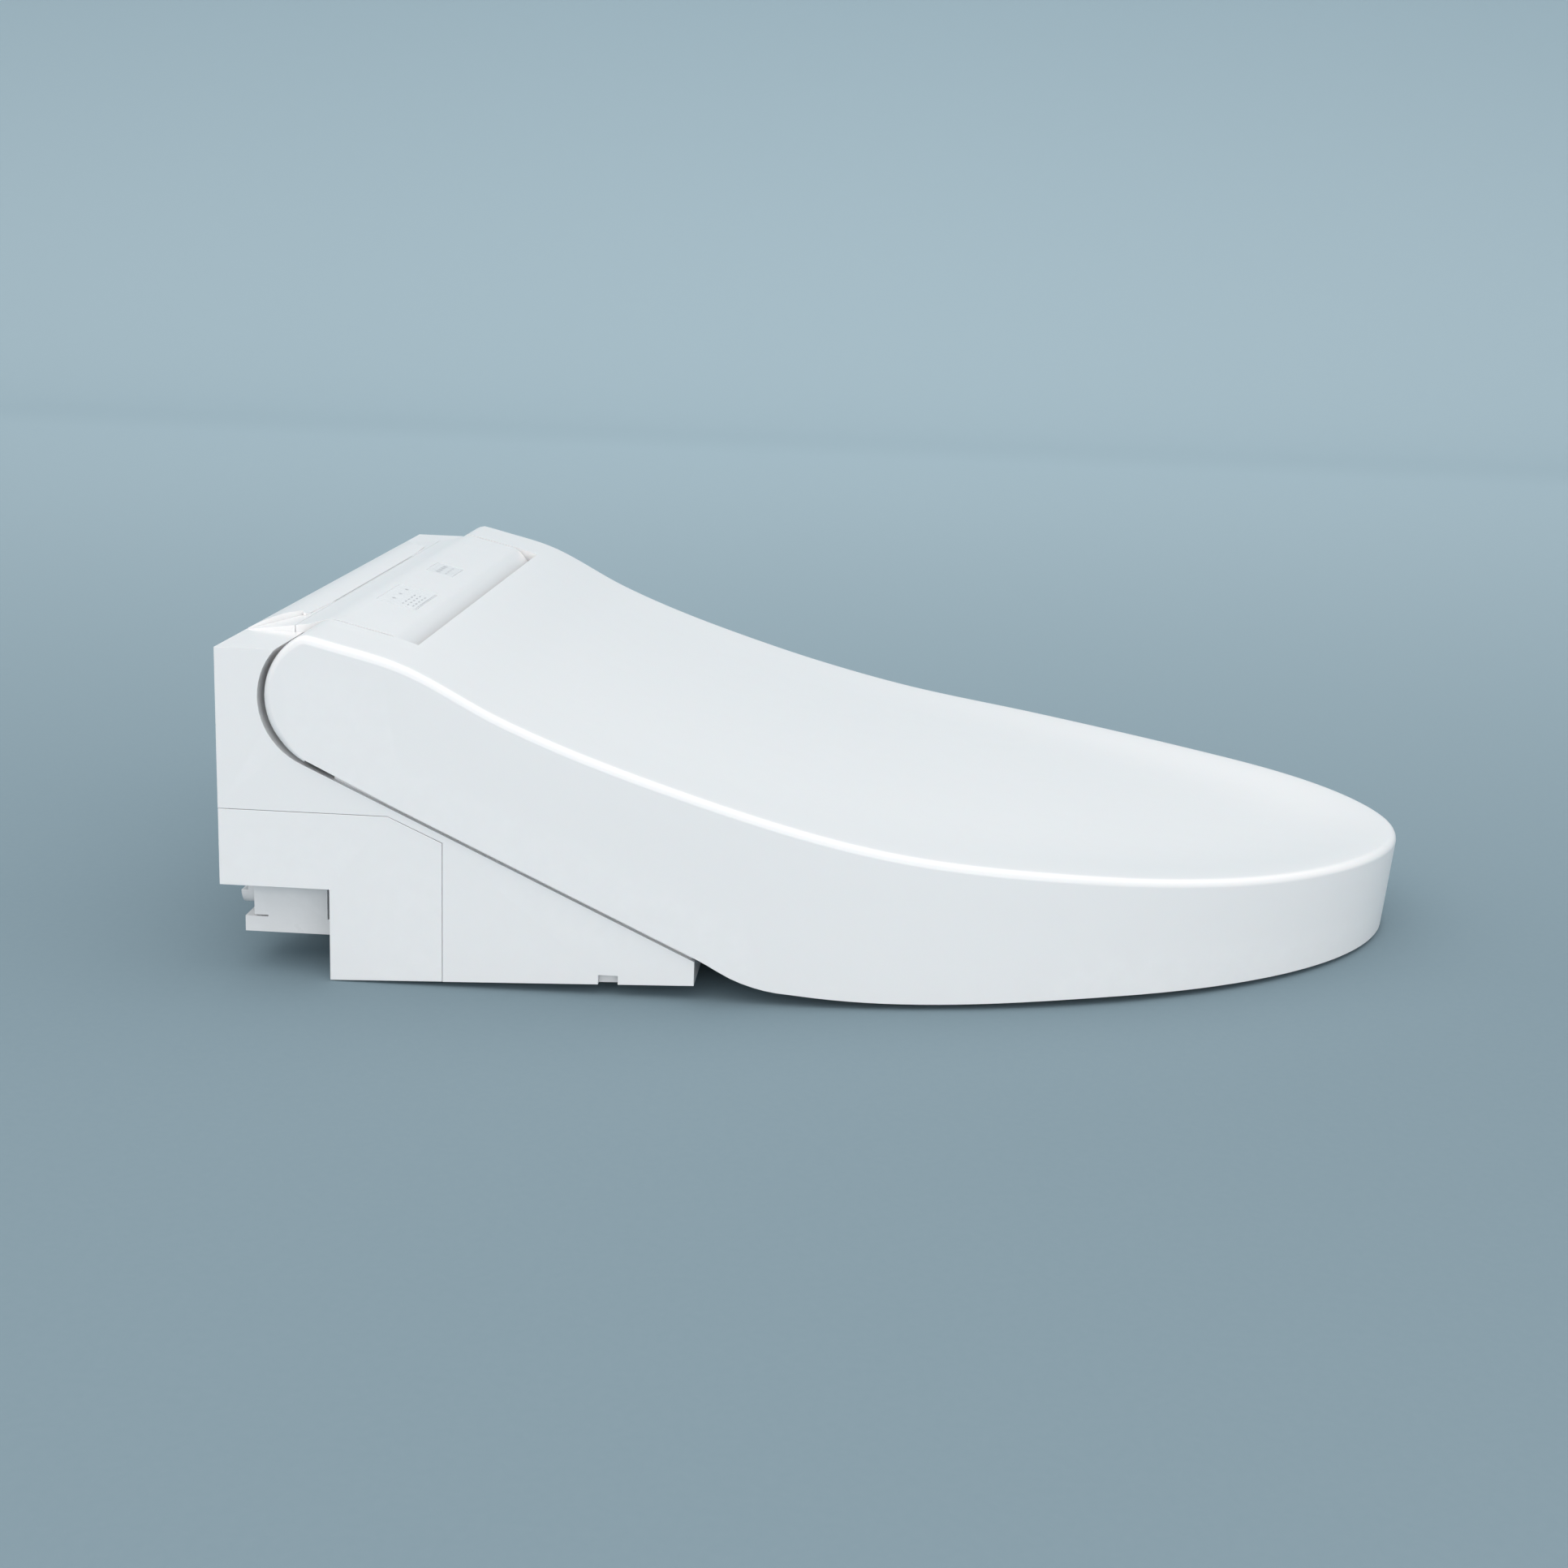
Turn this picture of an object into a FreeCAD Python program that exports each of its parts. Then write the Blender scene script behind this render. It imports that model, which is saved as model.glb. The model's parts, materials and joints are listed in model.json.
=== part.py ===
"""Electric bidet seat: base plate, washing unit, heated seat, lid and spray wand.

Millimetres.  The origin lies midway between the two fixing bolts, on the plane of the
bowl's rim.  +X is to the left of a seated person, -Y points to the front, +Z is up.
"""
import FreeCAD, Part
import math
import os

V = FreeCAD.Vector
os.makedirs("parts", exist_ok=True)

# ---- overall size -----------------------------------------------------------------------
HALF_WIDTH = 193.0        # lid, at its widest
BODY_HALF = 191.0         # washing unit
REAR_Y = 55.0             # rear wall
TIP_Y = -473.0            # foremost point of the lid
PARALLEL_Y = -182.0       # the lid's sides are parallel behind this line
SHOULDER_Z = 141.7        # top of the rear shoulders
OVERHANG_Z = 39.9         # underside of the part that hangs behind the bowl
LOWER_REAR_Y = 8.2        # rear face of the part that stands on the rim
NOZZLE_FRONT_Y = -75.0    # front face of the middle of the unit
SKIRT_FRONT_Y = -147.2    # front end of the side skirts
SKIRT_FRONT_Z = 6.0       # the skirt's lower edge rises to this at the front
WING_INNER_X = 135.0      # inner face of the side skirts' boxes
BLOCK_HALF = 147.0        # raised block between the lid's two arms

# ---- hinge line -------------------------------------------------------------------------
HINGE_Y = 7.0
HINGE_Z = 121.5
SHAFT_R = 5.95
HINGE_BORE_R = 6.0
RECESS_R = 30.3           # clearance around the lid's arms
NOSE_FRONT_Y = -18.6      # rounded front of the block

# ---- lid --------------------------------------------------------------------------------
LID_WALL = 3.5
LID_BOTTOM_REAR_Z = 4.6
LID_BOTTOM_TIP_Z = 1.4
LID_TIP_Z = 45.3
SLOT_HALF = 149.0         # cut-out between the arms
SLOT_FRONT_Y = -20.9
ARM_END_Y = 5.0           # centre of the arm's round end
ARM_END_Z = 122.0
ARM_END_R = 29.5
SIDE_ANGLE = math.radians(24.9)   # slope of the arms' lower edge
RIDGE = [(5, 145.5), (-21, 138.6), (-65, 117.0), (-145, 88.4), (-225, 68.0),
         (-305, 57.4), (-385, 49.9), (-450, 46.6)]

# ---- seat -------------------------------------------------------------------------------
SEAT_INSET = 9.0          # outline of the seat inside the lid's outline
SEAT_REAR_Y = -28.0
SEAT_BOTTOM_Z = 8.0
SEAT_TOP = [(-28, 118), (-65, 100), (-145, 72), (-225, 52), (-305, 41.5), (-385, 34), (-464, 29)]
SEAT_WALL = 3.0
HOLE_CENTRE_Y = -245.0
HOLE_HALF_LENGTH = 150.0
HOLE_HALF_WIDTH = 112.0
SEAT_NOTCH_Z = 53.0       # room under the seat's rear for the nozzle and dryer flaps

# ---- walls and gaps of the washing unit -------------------------------------------------
WALL = 3.0
CASE_GAP = 0.3
SEAM = 0.25
TRAY_WALL = 2.7
SEAM_Z = 73.0             # horizontal seam of the side covers
SEAM_Y = -40.0            # vertical seam of the side covers

# ---- spray wand -------------------------------------------------------------------------
WAND_ANGLE = math.radians(25.0)
WAND_Y = -75.0            # the wand's axis crosses the front face here
WAND_Z = 25.0
WAND_R = 6.0
WAND_START = 25.0         # tip, at rest, behind the front face along the axis
WAND_LENGTH = 110.0
TIP_LENGTH = 14.0
GEAR_MODULE = 0.8
PINION_TEETH = 12
PINION_AT = 46.0          # along the wand's axis
RACK_DEPTH = 8.0          # pitch line below the wand's axis


# =========================================================================================
# helpers
# =========================================================================================
def box(x0, x1, y0, y1, z0, z1):
    return Part.makeBox(x1 - x0, y1 - y0, z1 - z0, V(x0, y0, z0))


def cyl_x(radius, x0, x1, y, z):
    return Part.makeCylinder(radius, x1 - x0, V(x0, y, z), V(1, 0, 0))


def cyl_z(radius, x, y, z0, z1):
    return Part.makeCylinder(radius, z1 - z0, V(x, y, z0), V(0, 0, 1))


def side_point(y, z):
    return V(0, y, z)


def side_face(points):
    """Flat face in the YZ plane from straight edges."""
    corners = [side_point(y, z) for y, z in points]
    return Part.Face(Part.makePolygon(corners + corners[:1]))


def extrude_x(face, x0, x1):
    """Extrude a face of the YZ plane from x0 to x1."""
    shape = face.extrude(V(x1 - x0, 0, 0))
    shape.translate(V(x0, 0, 0))
    return shape


def spline(points, start=None, end=None):
    curve = Part.BSplineCurve()
    if start is None:
        curve.interpolate(points)
    else:
        curve.interpolate(Points=points, InitialTangent=start, FinalTangent=end)
    return curve.toShape()


def line(a, b):
    return Part.makeLine(a, b)


def arc(a, middle, b):
    return Part.Arc(a, middle, b).toShape()


def mirrored(shape):
    return shape.mirror(V(0, 0, 0), V(1, 0, 0))


def both_sides(shape):
    """A shape and its mirror image across the middle plane, as one compound."""
    return Part.makeCompound([shape, mirrored(shape)])


def down(shape, distance):
    moved = shape.copy()
    moved.translate(V(0, 0, -distance))
    return moved


def one_solid(shape):
    """The shape's largest solid; trimming can leave crumbs."""
    return max(shape.Solids, key=lambda solid: solid.Volume)


def save(name, shape):
    shape.exportStep("parts/%s.step" % name)


def keep(name, shape):
    """Save a node that is a single solid."""
    save(name, one_solid(shape))


def outline(inset, z0, z1, rear_y):
    """Lid outline in plan: parallel sides and a front that is nearly half an ellipse."""
    half = HALF_WIDTH - inset
    length = PARALLEL_Y - TIP_Y - inset
    steps = 12
    points = []
    for i in range(-steps, steps + 1):
        turn = math.pi / 2 * i / steps
        x = half * math.copysign(abs(math.sin(turn)) ** 1.053, turn)
        points.append(V(x, PARALLEL_Y - length * math.cos(turn), z0))
    front = spline(points, V(0, -1, 0), V(0, 1, 0))
    a = points[-1]
    b = points[0]
    a_rear = V(a.x, rear_y, z0)
    b_rear = V(b.x, rear_y, z0)
    wire = Part.Wire([front, line(a, a_rear), line(a_rear, b_rear), line(b_rear, b)])
    return Part.Face(wire).extrude(V(0, 0, z1 - z0))


def side_line(y, drop=0.0):
    """Height of the arms' lower edge, less a drop, at y."""
    tangent_y = ARM_END_Y + ARM_END_R * math.sin(SIDE_ANGLE)
    tangent_z = ARM_END_Z - ARM_END_R * math.cos(SIDE_ANGLE)
    return tangent_z + math.tan(SIDE_ANGLE) * (y - tangent_y) - drop


# =========================================================================================
# washing unit: envelope and cases
# =========================================================================================
def side_profile():
    """Side boxes: rear wall, shoulder, hinge recess, sloping top and rising lower edge."""
    gap = 2.3
    top_y = HINGE_Y + math.sqrt(RECESS_R ** 2 - (SHOULDER_Z - HINGE_Z) ** 2)
    along = math.tan(SIDE_ANGLE)
    offset = side_line(HINGE_Y, gap) - HINGE_Z
    a = 1 + along ** 2
    b = 2 * along * offset
    c = offset ** 2 - RECESS_R ** 2
    under_y = HINGE_Y + (-b - math.sqrt(b * b - 4 * a * c)) / (2 * a)
    start = side_point(top_y, SHOULDER_Z)
    middle = side_point(HINGE_Y + RECESS_R * math.cos(0.5), HINGE_Z - RECESS_R * math.sin(0.5))
    under = side_point(under_y, side_line(under_y, gap))
    front = side_point(SKIRT_FRONT_Y, side_line(SKIRT_FRONT_Y, gap))
    toe = side_point(SKIRT_FRONT_Y, SKIRT_FRONT_Z)
    heel = side_point(LOWER_REAR_Y, 0)
    inner = side_point(LOWER_REAR_Y, OVERHANG_Z)
    low = side_point(REAR_Y, OVERHANG_Z)
    high = side_point(REAR_Y, SHOULDER_Z)
    edges = [line(high, start), arc(start, middle, under), line(under, front), line(front, toe),
             line(toe, heel), line(heel, inner), line(inner, low), line(low, high)]
    return Part.Face(Part.Wire(edges))


def block_profile():
    """Middle of the unit: sloping rear top, low crown, round nose, deck and front face."""
    nose = side_point(-9.0, 142.2)
    bend = side_point(-16.0, 134.8)
    chin = side_point(NOSE_FRONT_Y, HINGE_Z)
    deck = 6.0
    points = [chin, side_point(chin.y, side_line(chin.y, deck)),
              side_point(NOZZLE_FRONT_Y, side_line(NOZZLE_FRONT_Y, deck)),
              side_point(NOZZLE_FRONT_Y, 0), side_point(LOWER_REAR_Y, 0),
              side_point(LOWER_REAR_Y, OVERHANG_Z), side_point(REAR_Y, OVERHANG_Z),
              side_point(REAR_Y, SHOULDER_Z), side_point(27, 145.4)]
    crown_rear = side_point(21, 147.2)
    crown_front = side_point(10.5, 146.7)
    points.append(crown_rear)
    edges = [line(points[i], points[i + 1]) for i in range(len(points) - 1)]
    edges += [arc(crown_rear, side_point(16, 147.9), crown_front), line(crown_front, nose)]
    return Part.Face(Part.Wire(edges + [arc(nose, bend, chin)]))


def envelope(inset):
    """Solid outer form of the unit, shrunk on all sides by inset."""
    side = side_profile()
    block = block_profile()
    if inset:
        side = side.makeOffset2D(-inset)
        block = block.makeOffset2D(-inset)
    right = extrude_x(side, -BODY_HALF + inset, -WING_INNER_X - inset)
    left = extrude_x(side, WING_INNER_X + inset, BODY_HALF - inset)
    middle = extrude_x(block, -BLOCK_HALF + inset, BLOCK_HALF - inset)
    return middle.fuse([right, left]).removeSplitter()


def cover_region(grow):
    """Where the right side cover lies, bounded by its three seams."""
    corner_y = -17.0
    corner_z = 62.6
    points = [(REAR_Y + 5, SEAM_Z + grow), (corner_y, SEAM_Z + grow),
              (SEAM_Y - grow, corner_z + grow), (SEAM_Y - grow, -5), (REAR_Y + 5, -5)]
    return extrude_x(side_face(points), -BODY_HALF - 5, -BODY_HALF + 10 + grow)


def block_region(grow):
    """Where the control cover lies: the block's top, nose and side walls."""
    return box(-BLOCK_HALF - 1, BLOCK_HALF + 1, -40, 33 + grow, 96 - grow, 160)


def wand_axis(radius, start, end):
    """Cylinder along the wand's axis; distances run from the front face up and back."""
    along = V(0, math.cos(WAND_ANGLE), math.sin(WAND_ANGLE))
    origin = V(0, WAND_Y, WAND_Z) + along * start
    return Part.makeCylinder(radius, end - start, origin, along)


def in_wand_frame(shape):
    """Place a shape drawn with +Y along the wand's axis and +Z square to it."""
    placed = shape.copy()
    placed.rotate(V(0, 0, 0), V(1, 0, 0), math.degrees(WAND_ANGLE))
    placed.translate(V(0, WAND_Y, WAND_Z))
    return placed


FRONT_SCREWS = [(-122, -60), (122, -60)]
REAR_SCREWS = [(-141, 41.5), (141, 41.5)]
DUCT_X = (48.0, 72.0)
BUTTON_Y = -20.0
BUTTON_Z = 25.0
BUTTON_R = 7.0
GLAND_X = 165.0
GLAND_Y = 32.0
FLAP_PIN_Z = 45.0
FLAP_PIN_Y = -77.3


def front_openings():
    """Holes through the front face for the wand and for the warm air."""
    return [wand_axis(WAND_R + 2.5, -10, 16),
            in_wand_frame(box(-3.5, 3.5, -10, 16, -10.0, 0)),
            box(DUCT_X[0] + 2, DUCT_X[1] - 2, NOZZLE_FRONT_Y - 5, NOZZLE_FRONT_Y + 6.5, 25, 39)]


def flap_ears():
    """Pairs of ears on the front face that carry the two flaps' pins."""
    ears = []
    for x0, x1 in [(-15.6, -13.4), (13.4, 15.6), (43.4, 45.6), (74.4, 76.6)]:
        ear = box(x0, x1, FLAP_PIN_Y - 2, NOZZLE_FRONT_Y + 1, FLAP_PIN_Z - 2.5, FLAP_PIN_Z + 1.5)
        ears.append(ear.cut(cyl_x(0.9, x0 - 1, x1 + 1, FLAP_PIN_Y, FLAP_PIN_Z)))
    return ears


def unit_cases():
    outer = envelope(0)
    inner = envelope(WALL)
    opened = inner.fuse(down(inner, WALL + 0.5))
    shell = outer.cut(opened)

    cover = shell.common(cover_region(0))
    keep("right_side_cover", cover)
    left_cover = mirrored(cover).cut(cyl_x(BUTTON_R + 0.3, 150, 200, BUTTON_Y, BUTTON_Z))
    keep("left_side_cover", left_cover)

    control = shell.common(block_region(0))
    for sign in (-1, 1):
        x0, x1 = sorted((sign * 140, sign * 150))
        control = control.cut(cyl_x(7.0, x0, x1, HINGE_Y, HINGE_Z))
    window = box(15, 42, -1, 12, 130, 160)
    icons = box(-84, -38, -5, 13, 130, 160)
    skin = outer.cut(envelope(0.8))
    keep("sensor_window", skin.common(window))
    keep("icon_panel", skin.common(icons))
    pocket = outer.cut(envelope(1.0))
    control = control.cut(pocket.common(box(14.85, 42.15, -1.15, 12.15, 130, 160)))
    control = control.cut(pocket.common(box(-84.15, -37.85, -5.15, 13.15, 130, 160)))
    keep("control_cover", control)

    upper = shell.cut(cover_region(SEAM))
    upper = upper.cut(mirrored(cover_region(SEAM)))
    upper = upper.cut(block_region(SEAM))
    notch_y = -110.8
    notch = box(-BODY_HALF - 1, -BODY_HALF + WALL + 1, notch_y - 4.2, notch_y + 4.2, -1, 8.6)
    upper = upper.cut(both_sides(notch))
    upper = upper.cut(box(-90, 90, 0, 10, -1, 9))
    posts = []
    for x, y in FRONT_SCREWS:
        post = cyl_z(5, x, y, 14.3, 60).common(outer)
        posts.append(post.cut(cyl_z(2.0, x, y, 10, 24)))
    for x, y in REAR_SCREWS:
        post = cyl_z(5, x, y, 54.3, 150).common(outer)
        posts.append(post.cut(cyl_z(2.0, x, y, 50, 64)))
    upper = upper.fuse(posts + flap_ears())
    for hole in front_openings():
        upper = upper.cut(hole)
    keep("rear_cover", upper)

    tray_outer = envelope(WALL + CASE_GAP)
    tray_outer = tray_outer.fuse(down(tray_outer, WALL + CASE_GAP))
    tray_inner = down(envelope(WALL + CASE_GAP + TRAY_WALL), WALL + CASE_GAP)
    tray = tray_outer.cut(tray_inner.fuse(down(tray_inner, -6)))
    lower = box(-200, 200, -200, 4, -1, 14).fuse(box(-200, 200, 0, 60, -1, 54))
    tray = tray.common(lower)
    bosses = [cyl_z(6, x, y, 0, 14) for x, y in FRONT_SCREWS]
    bosses += [cyl_z(6, x, y, OVERHANG_Z, 54) for x, y in REAR_SCREWS]
    hump = box(-92.5, 92.5, -44.5, 5.0, 0, 12)
    tray = tray.fuse(bosses + [hump])
    tray = tray.cut(box(-90, 90, -42, 10, -1, 9))
    for x, y in FRONT_SCREWS:
        tray = tray.cut(cyl_z(4.2, x, y, -1, 8)).cut(cyl_z(2.1, x, y, 7, 15))
    for x, y in REAR_SCREWS:
        tray = tray.cut(cyl_z(4.2, x, y, 30, 48)).cut(cyl_z(2.1, x, y, 47, 55))
    tray = tray.cut(cyl_x(BUTTON_R + 0.3, 150, 200, BUTTON_Y, BUTTON_Z))
    tray = tray.cut(cyl_z(8.0, GLAND_X, GLAND_Y, 30, 50))
    for hole in front_openings():
        tray = tray.cut(hole)
    keep("base_case", tray)


def case_screws():
    screws = []
    for (x, y), z in [(p, 0.0) for p in FRONT_SCREWS] + [(p, 40.0) for p in REAR_SCREWS]:
        head = cyl_z(3.8, x, y, z + 4.5, z + 7.9)
        shank = cyl_z(1.9, x, y, z + 7.9, z + 22)
        recess = box(x - 2.2, x + 2.2, y - 0.4, y + 0.4, z + 4, z + 5.6)
        cross = box(x - 0.4, x + 0.4, y - 2.2, y + 2.2, z + 4, z + 5.6)
        screws.append(head.fuse(shank).cut(recess).cut(cross))
    save("case_screws", Part.makeCompound(screws))


def base_plate():
    """Plate bolted to the bowl; the unit slides on to it from the front."""
    plate = box(-85, 85, -38, 5.5, 0, 4.5)
    rails = box(46, 52, -38, 5.5, 4.5, 8.2).fuse(box(40, 52, -38, 5.5, 6.2, 8.2))
    stop = box(-20, 20, -8, -2, 4.5, 8.0)
    plate = plate.fuse([rails, mirrored(rails), stop])
    for sign in (-1, 1):
        x = sign * 70
        slot = box(x - 7.5, x + 7.5, -4.5, 4.5, -1, 10)
        slot = slot.fuse([cyl_z(4.5, x - 7.5, 0, -1, 10), cyl_z(4.5, x + 7.5, 0, -1, 10)])
        plate = plate.cut(slot)
    keep("base_plate", plate)


# =========================================================================================
# lid
# =========================================================================================
def lid_profile(inset):
    """Side view of the lid; inset shrinks it and opens its lower edge."""
    ridge = [side_point(y, z - inset) for y, z in RIDGE]
    ridge.append(side_point(TIP_Y + inset, LID_TIP_Z - inset))
    radius = ARM_END_R - inset
    shoulder_y = 21.0 - inset * 0.6
    shoulder = side_point(shoulder_y, ARM_END_Z + math.sqrt(radius ** 2 - (shoulder_y - ARM_END_Y) ** 2))
    crown = side_point(16.5, 148.2 - inset)
    rear = side_point(ARM_END_Y + radius, ARM_END_Z)
    if inset:
        low = side_point(ARM_END_Y + radius, ARM_END_Z - 60)
        toe = side_point(TIP_Y + inset, -20)
        edges = [arc(shoulder, crown, side_point(11.0, 147.0 - inset))]
        top = spline([side_point(11.0, 147.0 - inset)] + ridge)
        edges += [top, line(ridge[-1], toe), line(toe, side_point(low.y, -20)),
                  line(side_point(low.y, -20), rear)]
        diagonal = math.pi / 8
        bend = side_point(ARM_END_Y + radius * math.cos(diagonal), ARM_END_Z + radius * math.sin(diagonal))
        edges.append(arc(rear, bend, shoulder))
        return Part.Face(Part.Wire(edges))
    tangent = side_point(ARM_END_Y + radius * math.sin(SIDE_ANGLE),
                         ARM_END_Z - radius * math.cos(SIDE_ANGLE))
    knee = side_point(-150, side_line(-150))
    heel = side_point(-192, LID_BOTTOM_REAR_Z)
    bow = spline([knee, side_point(-164.5, 9.9), side_point(-177, 6.2), heel],
                 V(0, -math.cos(SIDE_ANGLE), -math.sin(SIDE_ANGLE)), V(0, -1, 0))
    toe = side_point(TIP_Y, LID_BOTTOM_TIP_Z)
    top = spline([side_point(11.0, 147.0)] + ridge)
    edges = [arc(shoulder, crown, side_point(11.0, 147.0)), top, line(ridge[-1], toe),
             line(toe, heel), bow, line(knee, tangent), arc(tangent, rear, shoulder)]
    return Part.Face(Part.Wire(edges))


def lid_cavity():
    hollow = extrude_x(lid_profile(LID_WALL), -HALF_WIDTH + LID_WALL, HALF_WIDTH - LID_WALL)
    return hollow.common(outline(LID_WALL, -30, 160, 60))


def lid():
    outer = extrude_x(lid_profile(0), -HALF_WIDTH, HALF_WIDTH).common(outline(0, -5, 160, 60))
    cavity = lid_cavity()
    shell = outer.cut(cavity)
    shell = shell.cut(box(-SLOT_HALF, SLOT_HALF, SLOT_FRONT_Y, 60, 0, 200))
    shell = shell.cut(both_sides(box(-165.5, -148, 0, 60, 60, HINGE_Z)))
    boss = cyl_x(14, -HALF_WIDTH + 2, -166, HINGE_Y, HINGE_Z)
    bore = cyl_x(HINGE_BORE_R, -187.6, -165, HINGE_Y, HINGE_Z)
    shell = shell.fuse([boss, mirrored(boss)])
    shell = shell.cut(bore).cut(mirrored(bore))
    keep("lid_shell", shell)
    bumpers = []
    for x, y, z in [(-120, -372, 36.0), (120, -372, 36.0), (-168, -232, 52.0), (168, -232, 52.0)]:
        bumpers.append(one_solid(cyl_z(6, x, y, z, 90).common(cavity)))
    save("lid_bumpers", Part.makeCompound(bumpers))


# =========================================================================================
# seat
# =========================================================================================
def seat_profile(inset):
    top = [side_point(y, z - inset) for y, z in SEAT_TOP]
    top[0] = side_point(SEAT_REAR_Y - inset, top[0].z - 0.5 * inset)
    top[-1] = side_point(SEAT_TOP[-1][0] + inset, top[-1].z)
    low = -30 if inset else SEAT_BOTTOM_Z
    toe = side_point(top[-1].y, low)
    if inset:
        points = [toe, side_point(top[0].y, low)]
    else:
        rise_y = -166.0
        points = [toe, side_point(rise_y, low), side_point(SEAT_REAR_Y, side_line(SEAT_REAR_Y, -1))]
    edges = [spline(top), line(top[-1], toe)]
    edges += [line(points[i], points[i + 1]) for i in range(len(points) - 1)]
    edges.append(line(points[-1], top[0]))
    return Part.Face(Part.Wire(edges))


def oval_hole(grow, z0, z1):
    """Oval opening of the seat, grown on all sides."""
    flat = Part.makeCylinder(1.0, z1 - z0, V(0, 0, 0), V(0, 0, 1))
    stretch = FreeCAD.Matrix()
    stretch.scale(HOLE_HALF_WIDTH + grow, HOLE_HALF_LENGTH + grow, 1.0)
    oval = flat.transformGeometry(stretch)
    oval.translate(V(0, HOLE_CENTRE_Y, z0))
    return oval


def seat_form(inset):
    """Ring of the seat: side profile, plan outline and hole, shrunk by inset."""
    form = extrude_x(seat_profile(inset), -HALF_WIDTH, HALF_WIDTH)
    form = form.common(outline(SEAT_INSET + inset, -40, 160, SEAT_REAR_Y - inset))
    return form.cut(oval_hole(inset, -50, 170))


def seat_notch():
    return box(-84, 84, -120, -70, -5, SEAT_NOTCH_Z)


def seat():
    outer = seat_form(0)
    hollow = seat_form(SEAT_WALL)
    top_shell = outer.cut(hollow)
    arm_points = [(4, 134), (-32, 117), (-32, 82), (-8, 92), (14, 111)]
    arm = extrude_x(side_face(arm_points), -163, -152)
    eye = cyl_x(13, -163, -152, HINGE_Y, HINGE_Z)
    arm = arm.fuse(eye).cut(hollow.common(box(-200, 200, -200, -28, 0, 200)))
    bore = cyl_x(HINGE_BORE_R, -164, -151, HINGE_Y, HINGE_Z)
    top_shell = top_shell.fuse([arm, mirrored(arm)])
    top_shell = top_shell.cut(bore).cut(mirrored(bore)).cut(seat_notch())
    keep("seat_top", top_shell)

    floor = seat_form(SEAT_WALL + 0.3).common(outer)
    strip = extrude_x(seat_floor_face(), -HALF_WIDTH, HALF_WIDTH)
    floor = floor.common(strip).cut(seat_notch())
    keep("seat_base", floor)
    mat = seat_form(SEAT_WALL + 0.3).cut(down(seat_form(SEAT_WALL + 0.3), 1.2))
    mat = mat.common(box(-200, 200, -455, -100, 20, 120))
    keep("seat_heater", mat)

    feet = []
    for x, y in [(-150, -205), (150, -205), (-62, -424), (62, -424)]:
        feet.append(cyl_z(9, x, y, 0, SEAT_BOTTOM_Z))
    save("seat_bumpers", Part.makeCompound(feet))


def seat_floor_face():
    """Strip that follows the seat's lower edge."""
    thick = 2.8
    rise_y = -166.0
    low = SEAT_BOTTOM_Z
    rear = side_line(SEAT_REAR_Y, -1)
    return side_face([(-470, low), (rise_y, low), (SEAT_REAR_Y, rear),
                      (SEAT_REAR_Y, rear + thick), (rise_y - 1, low + thick), (-470, low + thick)])


# =========================================================================================
# hinges
# =========================================================================================
def hinges():
    for name, sign in [("right", -1), ("left", 1)]:
        x0, x1 = sorted((sign * 112.0, sign * 187.0))
        shaft = cyl_x(SHAFT_R, x0, x1, HINGE_Y, HINGE_Z)
        keep(name + "_hinge_shaft", shaft)
        x0, x1 = sorted((sign * 126.0, sign * 138.0))
        bracket = box(x0, x1, -9, 23, 84, 135).cut(cyl_x(HINGE_BORE_R, x0 - 1, x1 + 1, HINGE_Y, HINGE_Z))
        keep(name + "_hinge_bracket", bracket)
    for name, sign in [("lid_damper", -1), ("seat_damper", 1)]:
        x0, x1 = sorted((sign * 78.0, sign * 111.7))
        damper = cyl_x(10.5, x0, x1, HINGE_Y, HINGE_Z)
        collar0, collar1 = sorted((sign * 104.0, sign * 109.0))
        damper = damper.fuse(cyl_x(12.0, collar0, collar1, HINGE_Y, HINGE_Z))
        keep(name, damper)


# =========================================================================================
# spray wand
# =========================================================================================
def involute(angle):
    return math.tan(angle) - angle


def pinion_gear(x0, x1):
    """Involute spur pinion centred on the X axis, one tooth pointing to +Z."""
    pitch_r = GEAR_MODULE * PINION_TEETH / 2
    base_r = pitch_r * math.cos(math.radians(20))
    tip_r = pitch_r + GEAR_MODULE
    root_r = pitch_r - 1.25 * GEAR_MODULE
    backlash = 0.12
    half_tooth = math.pi / (2 * PINION_TEETH) - backlash / (2 * pitch_r)
    half_base = half_tooth + involute(math.radians(20))
    radii = [base_r + (tip_r - base_r) * i / 5 for i in range(6)]
    flank = []
    for radius in radii:
        pressure = math.acos(base_r / radius)
        flank.append((radius, half_base - involute(pressure)))
    flank = [(root_r, half_base)] + flank
    points = []
    for tooth in range(PINION_TEETH):
        centre = 2 * math.pi * tooth / PINION_TEETH
        turned = [(r, centre - a) for r, a in flank] + [(r, centre + a) for r, a in reversed(flank)]
        points += [V(x0, r * math.sin(a), r * math.cos(a)) for r, a in turned]
    return Part.Face(Part.makePolygon(points + points[:1])).extrude(V(x1 - x0, 0, 0))


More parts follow.
